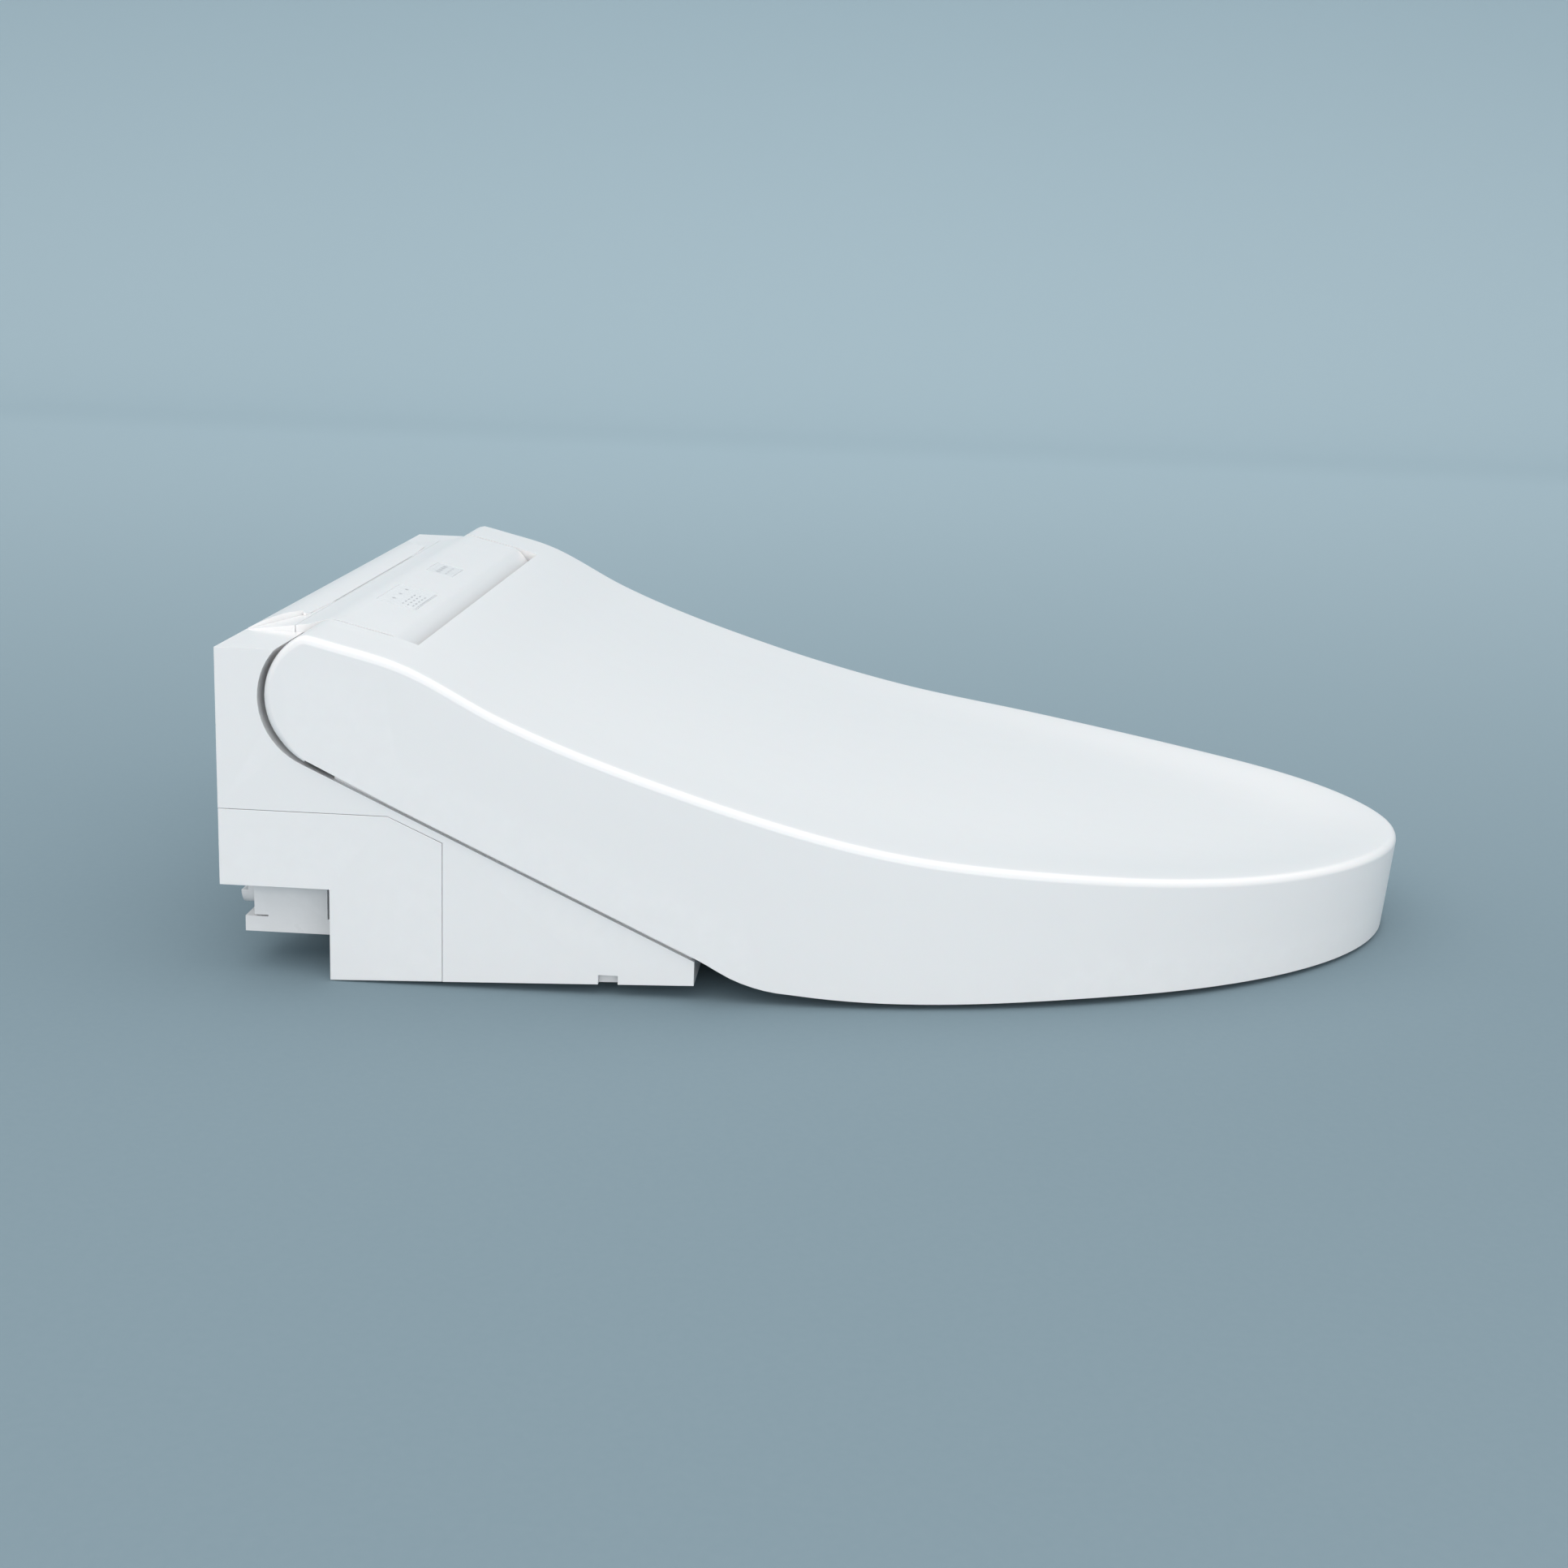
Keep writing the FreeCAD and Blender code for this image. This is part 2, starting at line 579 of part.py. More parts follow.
def rack_bar(u0, u1):
    """Rack under the wand, in the wand's frame; a gap faces the pinion at rest."""
    pitch = math.pi * GEAR_MODULE
    tip = -RACK_DEPTH - GEAR_MODULE
    root = -RACK_DEPTH + 1.3 * GEAR_MODULE
    lean = math.tan(math.radians(20))
    half_gap = pitch / 4
    points = [(u0, -5.0)]
    first = math.ceil((u0 + 2 - PINION_AT) / pitch)
    last = math.floor((u1 - 2 - PINION_AT) / pitch)
    points.append((u0, tip))
    for i in range(first, last + 1):
        middle = PINION_AT + i * pitch
        wide = half_gap + GEAR_MODULE * lean
        narrow = half_gap - 1.3 * GEAR_MODULE * lean
        points += [(middle - wide, tip), (middle - narrow, root), (middle + narrow, root),
                   (middle + wide, tip)]
    points += [(u1, tip), (u1, -5.0)]
    return extrude_x(side_face(points), -2.5, 2.5)


def wand_unit():
    end = WAND_START + WAND_LENGTH
    tube = wand_axis(WAND_R, WAND_START + TIP_LENGTH, end)
    bore = wand_axis(3.2, WAND_START + TIP_LENGTH - 1, end + 1)
    rack = in_wand_frame(rack_bar(WAND_START + TIP_LENGTH + 2, end - 1))
    keep("wand_tube", tube.cut(bore).fuse(rack.cut(bore)).removeSplitter())
    along = V(0, math.cos(WAND_ANGLE), math.sin(WAND_ANGLE))
    ball = Part.makeSphere(WAND_R, V(0, WAND_Y, WAND_Z) + along * (WAND_START + WAND_R))
    tip = wand_axis(WAND_R, WAND_START + WAND_R, WAND_START + TIP_LENGTH).fuse(ball)
    jets = []
    for row in range(5):
        jet = Part.makeCylinder(0.6, 10, V(0, WAND_START + 7 + 1.4 * row, 0), V(0, 0, 1))
        jets.append(in_wand_frame(jet))
    keep("nozzle_tip", tip.cut(Part.makeCompound(jets)))

    guide = box(-9.5, 9.5, 18.5, end + 1, -7.0, 9.0)
    channel = Part.makeCylinder(WAND_R + 0.4, 200, V(0, -5, 0), V(0, 1, 0))
    slot = box(-3.0, 3.0, -5, 200, -10, 0)
    relief = box(-9.6, 9.6, PINION_AT - 8, PINION_AT + 8, -10, -5.6)
    guide = in_wand_frame(guide.cut(channel).cut(slot).cut(relief))
    guide = guide.common(box(-20, 20, -68.8, 48.5, 5, 130))
    keep("wand_guide", guide)

    pinion = pinion_gear(-3.0, 3.0).fuse(Part.makeCylinder(1.5, 7, V(2, 0, 0), V(1, 0, 0)))
    pinion.translate(V(0, PINION_AT, -RACK_DEPTH - GEAR_MODULE * PINION_TEETH / 2))
    keep("drive_pinion", in_wand_frame(pinion))
    motor = Part.makeCylinder(9.0, 24, V(10, 0, 0), V(1, 0, 0))
    collar = Part.makeCylinder(4.0, 4, V(6.2, 0, 0), V(1, 0, 0))
    motor = motor.fuse(collar).cut(Part.makeCylinder(1.56, 6, V(5, 0, 0), V(1, 0, 0)))
    motor.translate(V(0, PINION_AT, -RACK_DEPTH - GEAR_MODULE * PINION_TEETH / 2))
    keep("wand_motor", in_wand_frame(motor))


def flap(name, x0, x1, z_low):
    """Flap hung on a pin across the front face, closing one opening."""
    plate = box(x0, x1, FLAP_PIN_Y - 0.9, FLAP_PIN_Y + 0.9, z_low, FLAP_PIN_Z)
    barrel = cyl_x(1.9, x0, x1, FLAP_PIN_Y, FLAP_PIN_Z)
    pin_hole = cyl_x(0.9, x0 - 1, x1 + 1, FLAP_PIN_Y, FLAP_PIN_Z)
    keep(name, plate.fuse(barrel).cut(pin_hole))


def flaps():
    flap("nozzle_shutter", -13.0, 13.0, 14.0)
    flap("dryer_flap", 46.0, 74.0, 22.0)
    pins = [cyl_x(0.85, -15.6, 15.6, FLAP_PIN_Y, FLAP_PIN_Z),
            cyl_x(0.85, 43.4, 76.6, FLAP_PIN_Y, FLAP_PIN_Z)]
    save("flap_pins", Part.makeCompound(pins))


# =========================================================================================
# water path
# =========================================================================================
def water_path():
    """Inlet under the overhang, valve, heater tank, pump and air break."""
    body = box(-172, -137, 14, 46, 21.5, 39.4)
    body = body.fuse(cyl_z(8.0, -150, 30, 14.5, 22)).fuse(box(-172, -137, 12, 50, 14.0, 20.8))
    body = body.fuse(box(-172, -137, 14, 40, 20, 22))
    body = body.fuse(box(-138, -104, 16, 44, 26, 39.4)).fuse(cyl_z(10.4, -118, 30, 6, 27))
    body = body.cut(cyl_z(6.0, -118, 30, 5, 34)).cut(cyl_x(4.5, -150, -118, 30, 30.5))
    body = body.cut(cyl_y(7.6, -154.5, 30.5, 30, 51))
    keep("water_inlet", body)
    plug = cyl_y(7.52, -154.5, 30.5, 33, 46.2).fuse(cyl_y(8.2, -154.5, 30.5, 46.2, 54.5))
    plug = plug.cut(box(-164, -145, 51.5, 56, 29.5, 31.5))
    keep("filter_plug", plug)

    valve = box(-178, -150, 16, 44, 46, 74).fuse(cyl_z(10, -164, 30, 74, 86))
    keep("inlet_valve", valve)
    tank = box(-113, -42, -8, 46, 48, 92).cut(box(-110.5, -44.5, -5.5, 43.5, 50.5, 89.5))
    keep("heater_tank", tank)
    element = cyl_x(4, -104, -50, 10, 70).fuse(cyl_x(4, -104, -50, 28, 70))
    element = element.fuse(box(-106, -100, 6, 32, 66, 74))
    keep("heater_element", element)
    hose = cyl_x(4.0, -149.7, -113.3, 30, 60).cut(cyl_x(2.6, -151, -112, 30, 60))
    keep("feed_hose", hose)
    pump = cyl_x(13, -106, -70, -36, 32).fuse(box(-98, -78, -46, -26, 14.2, 22))
    keep("water_pump", pump)
    breaker = cyl_z(7, -124, 35, 96, 128).fuse(cyl_z(9, -124, 35, 104, 110))
    keep("air_break", breaker)


def cyl_y(radius, x, z, y0, y1):
    return Part.makeCylinder(radius, y1 - y0, V(x, y0, z), V(0, 1, 0))


# =========================================================================================
# air path
# =========================================================================================
FAN_Y = 18.0
FAN_Z = 72.0


def blade_wheel(radius, hub, width, count):
    """Centrifugal wheel about the X axis, from x = 0 to its width."""
    disc = Part.makeCylinder(radius, 1.2, V(0, 0, 0), V(1, 0, 0))
    boss = Part.makeCylinder(hub, width, V(0, 0, 0), V(1, 0, 0))
    parts = [boss]
    for i in range(count):
        blade = Part.makeBox(width, radius - hub - 2, 1.0, V(0, hub + 1, -0.5))
        blade.rotate(V(0, hub + 1, 0), V(1, 0, 0), 25)
        blade.rotate(V(0, 0, 0), V(1, 0, 0), 360.0 * i / count)
        parts.append(blade)
    return disc.fuse(parts).common(Part.makeCylinder(radius, width, V(0, 0, 0), V(1, 0, 0)))


def dryer():
    housing = box(46, 74, -9, 46, 47.5, 97).cut(cyl_x(21.5, 48.5, 71.5, FAN_Y, FAN_Z))
    outlet = box(50, 70, -10, 10, 54, 66)
    inlet = cyl_x(10, 44, 50, FAN_Y, FAN_Z)
    housing = housing.cut(outlet).cut(inlet).cut(cyl_x(3.0, 70, 76, FAN_Y, FAN_Z))
    keep("dryer_housing", housing)
    wheel = blade_wheel(19.0, 6.0, 18.0, 18)
    wheel = wheel.fuse(Part.makeCylinder(2.0, 30, V(0, 0, 0), V(1, 0, 0)))
    wheel.translate(V(51, FAN_Y, FAN_Z))
    keep("dryer_fan", wheel)
    motor = cyl_x(15, 74.4, 101, FAN_Y, FAN_Z).cut(cyl_x(2.06, 74, 84, FAN_Y, FAN_Z))
    keep("dryer_motor", motor)
    outer = extrude_x(side_face([(-9.4, 50), (-9.4, 68), (-32, 56), (-68.6, 42), (-68.6, 22.5),
                                 (-32, 32)]), DUCT_X[0], DUCT_X[1])
    inner = extrude_x(side_face([(-9, 54), (-9, 64), (-32, 53.5), (-69, 39), (-69, 25.5),
                                 (-32, 35)]), DUCT_X[0] + 2, DUCT_X[1] - 2)
    keep("dryer_duct", outer.cut(inner))
    coil = []
    for i in range(5):
        coil.append(cyl_x(0.7, DUCT_X[0] + 2.5, DUCT_X[1] - 2.5, -34 - 4.0 * i, 42 - 1.6 * i))
    side = extrude_x(side_face([(-32, 41), (-32, 44), (-52, 36), (-52, 33)]),
                     DUCT_X[0] + 2.3, DUCT_X[0] + 3.5)
    keep("dryer_heater", side.fuse(coil))


def deodoriser():
    housing = box(82, 114, -64, -22, 14.2, 44)
    housing = housing.cut(cyl_x(12.5, 85, 97, -43, 29)).cut(box(99, 112, -61, -25, 17, 41))
    housing = housing.cut(cyl_x(6, 80, 86, -43, 29))
    keep("deodoriser_housing", housing)
    wheel = blade_wheel(11.5, 4.0, 9.0, 12)
    wheel.translate(V(86.5, -43, 29))
    keep("deodoriser_fan", wheel)
    keep("odour_filter", box(99.5, 111.5, -60.5, -25.5, 17.5, 40.5))


# =========================================================================================
# electronics and small parts
# =========================================================================================
def electronics():
    board = box(-74, 74, -12, 26, 128, 129.6)
    for x, size in [(-60, 10), (-36, 14), (-8, 18), (22, 12), (50, 9)]:
        board = board.fuse(box(x, x + size, -4, 8, 129.6, 132.5))
    keep("control_board", board)
    board = box(150, 180, 12.8 + 2, 47, 56, 57.6)
    board = board.fuse(cyl_z(5, 160, 40, 57.6, 72)).fuse(box(153, 166, 18, 30, 57.6, 66))
    keep("power_board", board)
    gland = cyl_z(7.8, GLAND_X, GLAND_Y, 31, 44).fuse(cyl_z(9.6, GLAND_X, GLAND_Y, 43.2, 46))
    gland = gland.cut(cyl_z(3.7, GLAND_X, GLAND_Y, 30, 50))
    keep("cord_gland", gland)
    button = cyl_x(BUTTON_R, 183.5, 192.3, BUTTON_Y, BUTTON_Z)
    button = button.fuse(cyl_x(3.0, 172, 184, BUTTON_Y, BUTTON_Z))
    keep("release_button", button)


unit_cases()
case_screws()
base_plate()
lid()
seat()
hinges()
wand_unit()
flaps()
water_path()
dryer()
deodoriser()
electronics()
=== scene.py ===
import json
import math

import bmesh
import bpy
import numpy as np
from mathutils import Matrix, Vector


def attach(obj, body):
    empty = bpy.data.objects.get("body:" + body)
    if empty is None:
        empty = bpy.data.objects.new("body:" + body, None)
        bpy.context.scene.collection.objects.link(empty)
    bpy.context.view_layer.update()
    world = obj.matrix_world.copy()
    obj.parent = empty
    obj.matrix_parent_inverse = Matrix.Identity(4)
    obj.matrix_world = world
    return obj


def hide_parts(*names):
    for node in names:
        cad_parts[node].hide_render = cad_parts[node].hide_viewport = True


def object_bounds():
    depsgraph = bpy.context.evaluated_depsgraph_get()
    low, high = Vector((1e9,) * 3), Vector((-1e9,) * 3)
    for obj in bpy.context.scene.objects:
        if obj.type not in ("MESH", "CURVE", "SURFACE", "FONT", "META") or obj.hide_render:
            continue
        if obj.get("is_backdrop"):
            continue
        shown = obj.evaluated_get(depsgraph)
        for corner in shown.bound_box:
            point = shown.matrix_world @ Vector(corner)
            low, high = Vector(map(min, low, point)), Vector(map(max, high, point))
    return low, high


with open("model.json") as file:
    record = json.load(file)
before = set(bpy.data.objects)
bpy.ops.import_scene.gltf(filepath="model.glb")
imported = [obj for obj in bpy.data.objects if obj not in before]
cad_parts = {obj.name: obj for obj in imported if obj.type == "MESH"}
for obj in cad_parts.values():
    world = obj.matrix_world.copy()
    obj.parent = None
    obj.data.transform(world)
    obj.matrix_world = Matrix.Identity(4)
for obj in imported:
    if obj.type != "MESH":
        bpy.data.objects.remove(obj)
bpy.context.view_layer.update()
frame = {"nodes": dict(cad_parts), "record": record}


# =========================================================================================
# Lid
# One moulded shell of glossy white plastic, 3.2 mm thick and open underneath. Its top dips a
# little towards the tip, its rim is rounded, and two rear arms wrap round the hinge.
# =========================================================================================
MM = 0.001
LID_HALF_WIDTH = 193.0
LID_PARALLEL_Y = -182.0
LID_FRONT_LENGTH = 291.0
LID_FRONT_POWER = 1.053
LID_SLOT_Y = -20.9
LID_SLOT_HALF = 149.0
LID_RIM_R = 3.5
LID_WALL = 3.2
LID_SPINE_END_Y = -280.0
LID_TIP_DRAFT = 3.6
ARM_END = (5.0, 122.0)
ARM_END_R = 29.5
ARM_TANGENT = (17.42, 95.24)
SIDE_SLOPE = math.tan(math.radians(24.9))
HINGE_Y = 7.0
HINGE_Z = 121.5
LID_RIDGE = [(-473, 45.3), (-450, 46.6), (-385, 49.9), (-305, 57.4), (-225, 68.0), (-145, 88.4),
             (-65, 117.0), (-21, 138.6), (5, 145.5), (11, 147.0), (16.5, 148.2)]
LID_HEM = [(-473, 1.4), (-330, 2.9), (-192, 4.6), (-177, 6.2), (-164.5, 9.9), (-150, 17.5)]
LID_DIP = [(-473, 6.6), (-440, 6.6), (-380, 5.0), (-300, 3.0), (-230, 1.6), (-100, 0.8), (-20, 0.0)]
DIP_FADE = 34.0
DIP_FADE_POWER = 1.6
LEAST_SQUARE = 0.35
ARM_CREST_YS = (LID_SLOT_Y, -16, -11, -5, 0, 5, 9, 13, 16.5)
ARM_CREST_END = (19.0, 147.75)
ARM_TURN = (57.2, -65.1)
ARM_TIP_RIM = (0.25, 0.55, 0.4)
LID_EDGE_R = 0.5
MERGE_DISTANCE = 0.02
SLIVER_LENGTH = 0.005


def curve_height(knots, y):
    """Height at y of the smooth curve through the (y, z) knots."""
    ys, zs = np.array(knots, float).T
    slopes = np.gradient(zs, ys)
    y = np.clip(np.asarray(y, float), ys[0], ys[-1])
    i = np.clip(np.searchsorted(ys, y) - 1, 0, len(ys) - 2)
    span = ys[i + 1] - ys[i]
    u = (y - ys[i]) / span
    rise = zs[i] * (2 * u ** 3 - 3 * u ** 2 + 1) + zs[i + 1] * (3 * u ** 2 - 2 * u ** 3)
    return rise + span * (slopes[i] * (u ** 3 - 2 * u ** 2 + u) + slopes[i + 1] * (u ** 3 - u ** 2))


def hem_height(y):
    """Height of the lid's lower edge: a straight slope at the rear, then nearly level."""
    if y > LID_HEM[-1][0]:
        return ARM_TANGENT[1] + SIDE_SLOPE * (y - ARM_TANGENT[0])
    return float(curve_height(LID_HEM, y))


class Skin:
    """Points and faces of one open surface, in millimetres."""

    def __init__(self):
        self.points = []
        self.faces = []

    def grid(self, rows):
        """Quads over rows of points of equal length."""
        start = len(self.points)
        width = len(rows[0])
        for row in rows:
            self.points += [tuple(p) for p in row]
        for i in range(len(rows) - 1):
            for j in range(width - 1):
                a = start + i * width + j
                self.faces.append((a, a + 1, a + width + 1, a + width))

    def face(self, corners):
        """One flat face through the corners."""
        start = len(self.points)
        self.points += [tuple(p) for p in corners]
        self.faces.append(tuple(range(start, start + len(corners))))

    def object(self, name):
        """The surface as a mesh object in metres, merged, with its faces turned one way."""
        mesh = bpy.data.meshes.new(name)
        mesh.from_pydata([[c * MM for c in p] for p in self.points], [], self.faces)
        work = bmesh.new()
        work.from_mesh(mesh)
        bmesh.ops.remove_doubles(work, verts=work.verts, dist=MERGE_DISTANCE * MM)
        bmesh.ops.dissolve_degenerate(work, edges=work.edges, dist=SLIVER_LENGTH * MM)
        bmesh.ops.recalc_face_normals(work, faces=work.faces)
        work.to_mesh(mesh)
        work.free()
        made = bpy.data.objects.new(name, mesh)
        bpy.context.scene.collection.objects.link(made)
        return made


def bake_modifiers(piece):
    """Replace the piece's mesh with what its modifiers make of it."""
    bpy.context.view_layer.update()
    graph = bpy.context.evaluated_depsgraph_get()
    mesh = bpy.data.meshes.new_from_object(piece.evaluated_get(graph))
    piece.modifiers.clear()
    piece.data = mesh
    mesh.name = piece.name


def settle(piece, smooth_angle=40):
    """Make the piece plain mesh, smooth up to an angle, with its flat faces kept flat."""
    bake_modifiers(piece)
    piece.data.shade_smooth()
    piece.data.set_sharp_from_angle(angle=math.radians(smooth_angle))
    weighted = piece.modifiers.new("weighted", "WEIGHTED_NORMAL")
    weighted.keep_sharp = True
    bake_modifiers(piece)
    return piece


def round_edges(piece, radius, segments=3, angle=35):
    """Round every edge sharper than the angle."""
    bevel = piece.modifiers.new("rounded", "BEVEL")
    bevel.width = radius * MM
    bevel.segments = segments
    bevel.limit_method = "ANGLE"
    bevel.angle_limit = math.radians(angle)
    bevel.miter_outer = "MITER_ARC"
    return piece


def lid_outline():
    """Stations round the lid's edge, from the near slot corner round the tip to the far one."""
    straight = np.linspace(LID_SLOT_Y, LID_PARALLEL_Y, 34)
    near = [(-LID_HALF_WIDTH, y) for y in straight]
    front = []
    for turn in np.radians(np.linspace(-90, 90, 121))[1:-1]:
        across = LID_HALF_WIDTH * math.copysign(abs(math.sin(turn)) ** LID_FRONT_POWER, turn)
        front.append((across, LID_PARALLEL_Y - LID_FRONT_LENGTH * math.cos(turn)))
    far = [(LID_HALF_WIDTH, y) for y in straight[::-1]]
    edge = np.array(near + front + far)
    along = np.gradient(edge, axis=0)
    outward = np.stack([along[:, 1], -along[:, 0]], 1)
    outward /= np.linalg.norm(outward, axis=1)[:, None]
    for i in range(len(straight)):
        outward[i] = (-1, 0)
        outward[-1 - i] = (1, 0)
    return edge, outward


def lid_skin():
    """Outer surface of the lid: top, rounded rim, side wall and the two arms."""
    skin = Skin()
    edge, outward = lid_outline()
    slot_share = LID_SLOT_HALF / (LID_HALF_WIDTH - LID_RIM_R)
    shares = [0, 0.06, 0.14, 0.24, 0.35, 0.46, 0.56, 0.65, 0.72, slot_share,
              0.83, 0.87, 0.91, 0.94, 0.965, 0.985, 1]
    turns = np.radians([18, 36, 54, 72, 90])
    falls = [0.25, 0.5, 0.75, 1.0]
    rows = []
    for (x, y), (nx, ny) in zip(edge, outward):
        inner = np.array([x - nx * LID_RIM_R, y - ny * LID_RIM_R])
        spine = np.array([0, max(inner[1], LID_SPINE_END_Y)])
        reach = np.linalg.norm(inner - spine)
        square = max(abs(float(np.dot(inner - spine, (nx, ny)))) / reach, LEAST_SQUARE)
        row = []
        for share in shares:
            px, py = spine + (inner - spine) * share
            inward = (1 - share) * reach * square
            dip = curve_height(LID_DIP, py) * (1 - math.exp(-(inward / DIP_FADE) ** DIP_FADE_POWER))
            row.append((px, py, curve_height(LID_RIDGE, py) - dip))
        top = float(curve_height(LID_RIDGE, inner[1]))
        for turn in turns:
            out = LID_RIM_R * math.sin(turn)
            row.append((inner[0] + nx * out, inner[1] + ny * out, top - LID_RIM_R * (1 - math.cos(turn))))
        low = hem_height(y)
        for fall in falls:
            draft = LID_TIP_DRAFT * fall * ny * ny
            row.append((x - nx * draft, y - ny * draft, top - LID_RIM_R + fall * (low - top + LID_RIM_R)))
        rows.append(row)
    skin.grid(rows)

    path = [(y, float(curve_height(LID_RIDGE, y))) for y in ARM_CREST_YS]
    path.append(ARM_CREST_END)
    for turn in np.radians(np.linspace(*ARM_TURN, 25)):
        path.append((ARM_END[0] + ARM_END_R * math.cos(turn), ARM_END[1] + ARM_END_R * math.sin(turn)))
    path = np.array(path)
    heading = np.gradient(path, axis=0)
    normal = np.stack([-heading[:, 1], heading[:, 0]], 1)
    normal /= np.linalg.norm(normal, axis=1)[:, None]
    for i in range(4):
        normal[i] = normal[i] * (i / 4) + np.array([0, 1]) * (1 - i / 4)
        normal[i] /= np.linalg.norm(normal[i])
    left = len(path) - np.arange(len(path))
    radii = np.clip(ARM_TIP_RIM[0] + ARM_TIP_RIM[1] * left, ARM_TIP_RIM[2], LID_RIM_R)
    columns = [s for s in shares if s >= slot_share]
    slot_corner = [(LID_SLOT_Y, rows[0][-k][2]) for k in (4, 3, 2, 1)]
    for side in (-1, 1):
        belt = []
        for (y, z), (ny, nz), radius in zip(path, normal, radii):
            flat = LID_HALF_WIDTH - radius - LID_SLOT_HALF
            line = []
            for share in columns:
                across = LID_SLOT_HALF + flat * (share - slot_share) / (1 - slot_share)
                line.append((side * across, y, z))
            for turn in turns:
                drop = radius * (1 - math.cos(turn))
                across = LID_HALF_WIDTH - radius + radius * math.sin(turn)
                line.append((side * across, y - ny * drop, z - nz * drop))
            belt.append(line)
        skin.grid(belt)
        outer = [line[-1] for line in belt]
        outer += [(side * LID_HALF_WIDTH, y, z) for y, z in reversed(slot_corner)]
        skin.face(outer)
        upper = [line[0] for line in belt if line[0][2] >= HINGE_Z]
        inner_x = side * LID_SLOT_HALF
        skin.face(upper + [(inner_x, 0, HINGE_Z), (inner_x, 0, hem_height(0)),
                           (inner_x, LID_SLOT_Y, hem_height(LID_SLOT_Y))])
    return skin


def face_up(piece, point):
    """Turn the whole surface over if the face nearest the point looks down."""
    nearest = min(piece.data.polygons, key=lambda f: (f.center - point).length)
    if nearest.normal.z < 0:
        piece.data.flip_normals()


lid = lid_skin().object("lid_shell_moulding")
face_up(lid, Vector((0, -0.2, 0.07)))
wall = lid.modifiers.new("wall", "SOLIDIFY")
wall.thickness = LID_WALL * MM
wall.offset = -1
wall.use_even_offset = True
wall.use_quality_normals = True
round_edges(lid, LID_EDGE_R, 2, 50)
settle(lid)


def shade_group(name, inputs, outputs):
    """An empty shader node group with named sockets, and its input and output nodes."""
    tree = bpy.data.node_groups.new(name, "ShaderNodeTree")
    for label, kind, value in inputs:
        socket = tree.interface.new_socket(name=label, in_out="INPUT", socket_type=kind)
        socket.default_value = value
    for label, kind in outputs:
        tree.interface.new_socket(name=label, in_out="OUTPUT", socket_type=kind)
    return tree, tree.nodes.new("NodeGroupInput"), tree.nodes.new("NodeGroupOutput")


def object_coordinates(tree):
    """The piece's own coordinates, in metres."""
    return tree.nodes.new("ShaderNodeTexCoord").outputs["Object"]


def noise(tree, scale, detail=3.0, rough=0.5, vector=None):
    """Strength of a noise texture on Object coordinates, or on the vector given."""
    node = tree.nodes.new("ShaderNodeTexNoise")
    node.inputs["Detail"].default_value = detail
    node.inputs["Roughness"].default_value = rough
    if isinstance(scale, bpy.types.NodeSocket):
        tree.links.new(scale, node.inputs["Scale"])
    else:
        node.inputs["Scale"].default_value = scale
    if vector is None:
        vector = object_coordinates(tree)
    tree.links.new(vector, node.inputs["Vector"])
    return node.outputs["Fac"]


def remap(tree, value, low, high, to_low, to_high):
    """Value stretched from one range to another, and held inside it."""
    node = tree.nodes.new("ShaderNodeMapRange")
    node.inputs["From Min"].default_value = low
    node.inputs["From Max"].default_value = high
    node.inputs["To Min"].default_value = to_low
    node.inputs["To Max"].default_value = to_high
    tree.links.new(value, node.inputs["Value"])
    return node.outputs["Result"]


def times(tree, a, b):
    """Product of two values; b may be a number."""
    node = tree.nodes.new("ShaderNodeMath")
    node.operation = "MULTIPLY"
    tree.links.new(a, node.inputs[0])
    if isinstance(b, bpy.types.NodeSocket):
        tree.links.new(b, node.inputs[1])
    else:
        node.inputs[1].default_value = b
    return node.outputs[0]


def bump(tree, height, distance, normal=None):
    """Normal of a surface raised by the height, in metres."""
    node = tree.nodes.new("ShaderNodeBump")
    tree.links.new(height, node.inputs["Height"])
    if isinstance(distance, bpy.types.NodeSocket):
        tree.links.new(distance, node.inputs["Distance"])
    else:
        node.inputs["Distance"].default_value = distance
    if normal is not None:
        tree.links.new(normal, node.inputs["Normal"])
    return node.outputs["Normal"]


def moulded_surface_group():
    """The faint grain and slow waves that a steel mould leaves in plastic."""
    tree, given, made = shade_group(
        "moulded_surface",
        [("Grain Scale", "NodeSocketFloat", 1400.0), ("Grain Depth", "NodeSocketFloat", 2e-5),
         ("Wave Depth", "NodeSocketFloat", 1e-4)],
        [("Normal", "NodeSocketVector"), ("Mottle", "NodeSocketFloat")])
    grain = noise(tree, given.outputs["Grain Scale"], 2.0)
    waves = noise(tree, 16.0, 2.0, 0.4)
    waved = bump(tree, waves, given.outputs["Wave Depth"])
    grained = bump(tree, grain, given.outputs["Grain Depth"], waved)
    mottle = noise(tree, 55.0, 5.0, 0.6)
    tree.links.new(grained, made.inputs["Normal"])
    tree.links.new(mottle, made.inputs["Mottle"])
    return tree


def dust_group():
    """Fine dust that lies on faces that look up."""
    tree, given, made = shade_group(
        "settled_dust", [("Amount", "NodeSocketFloat", 0.1)], [("Mask", "NodeSocketFloat")])
    facing = tree.nodes.new("ShaderNodeSeparateXYZ")
    tree.links.new(tree.nodes.new("ShaderNodeNewGeometry").outputs["Normal"], facing.inputs[0])
    upward = remap(tree, facing.outputs["Z"], 0.5, 1.0, 0.0, 1.0)
    specks = remap(tree, noise(tree, 240.0, 6.0, 0.7), 0.45, 0.75, 0.0, 1.0)
    mask = times(tree, times(tree, upward, specks), given.outputs["Amount"])
    tree.links.new(mask, made.inputs["Mask"])
    return tree


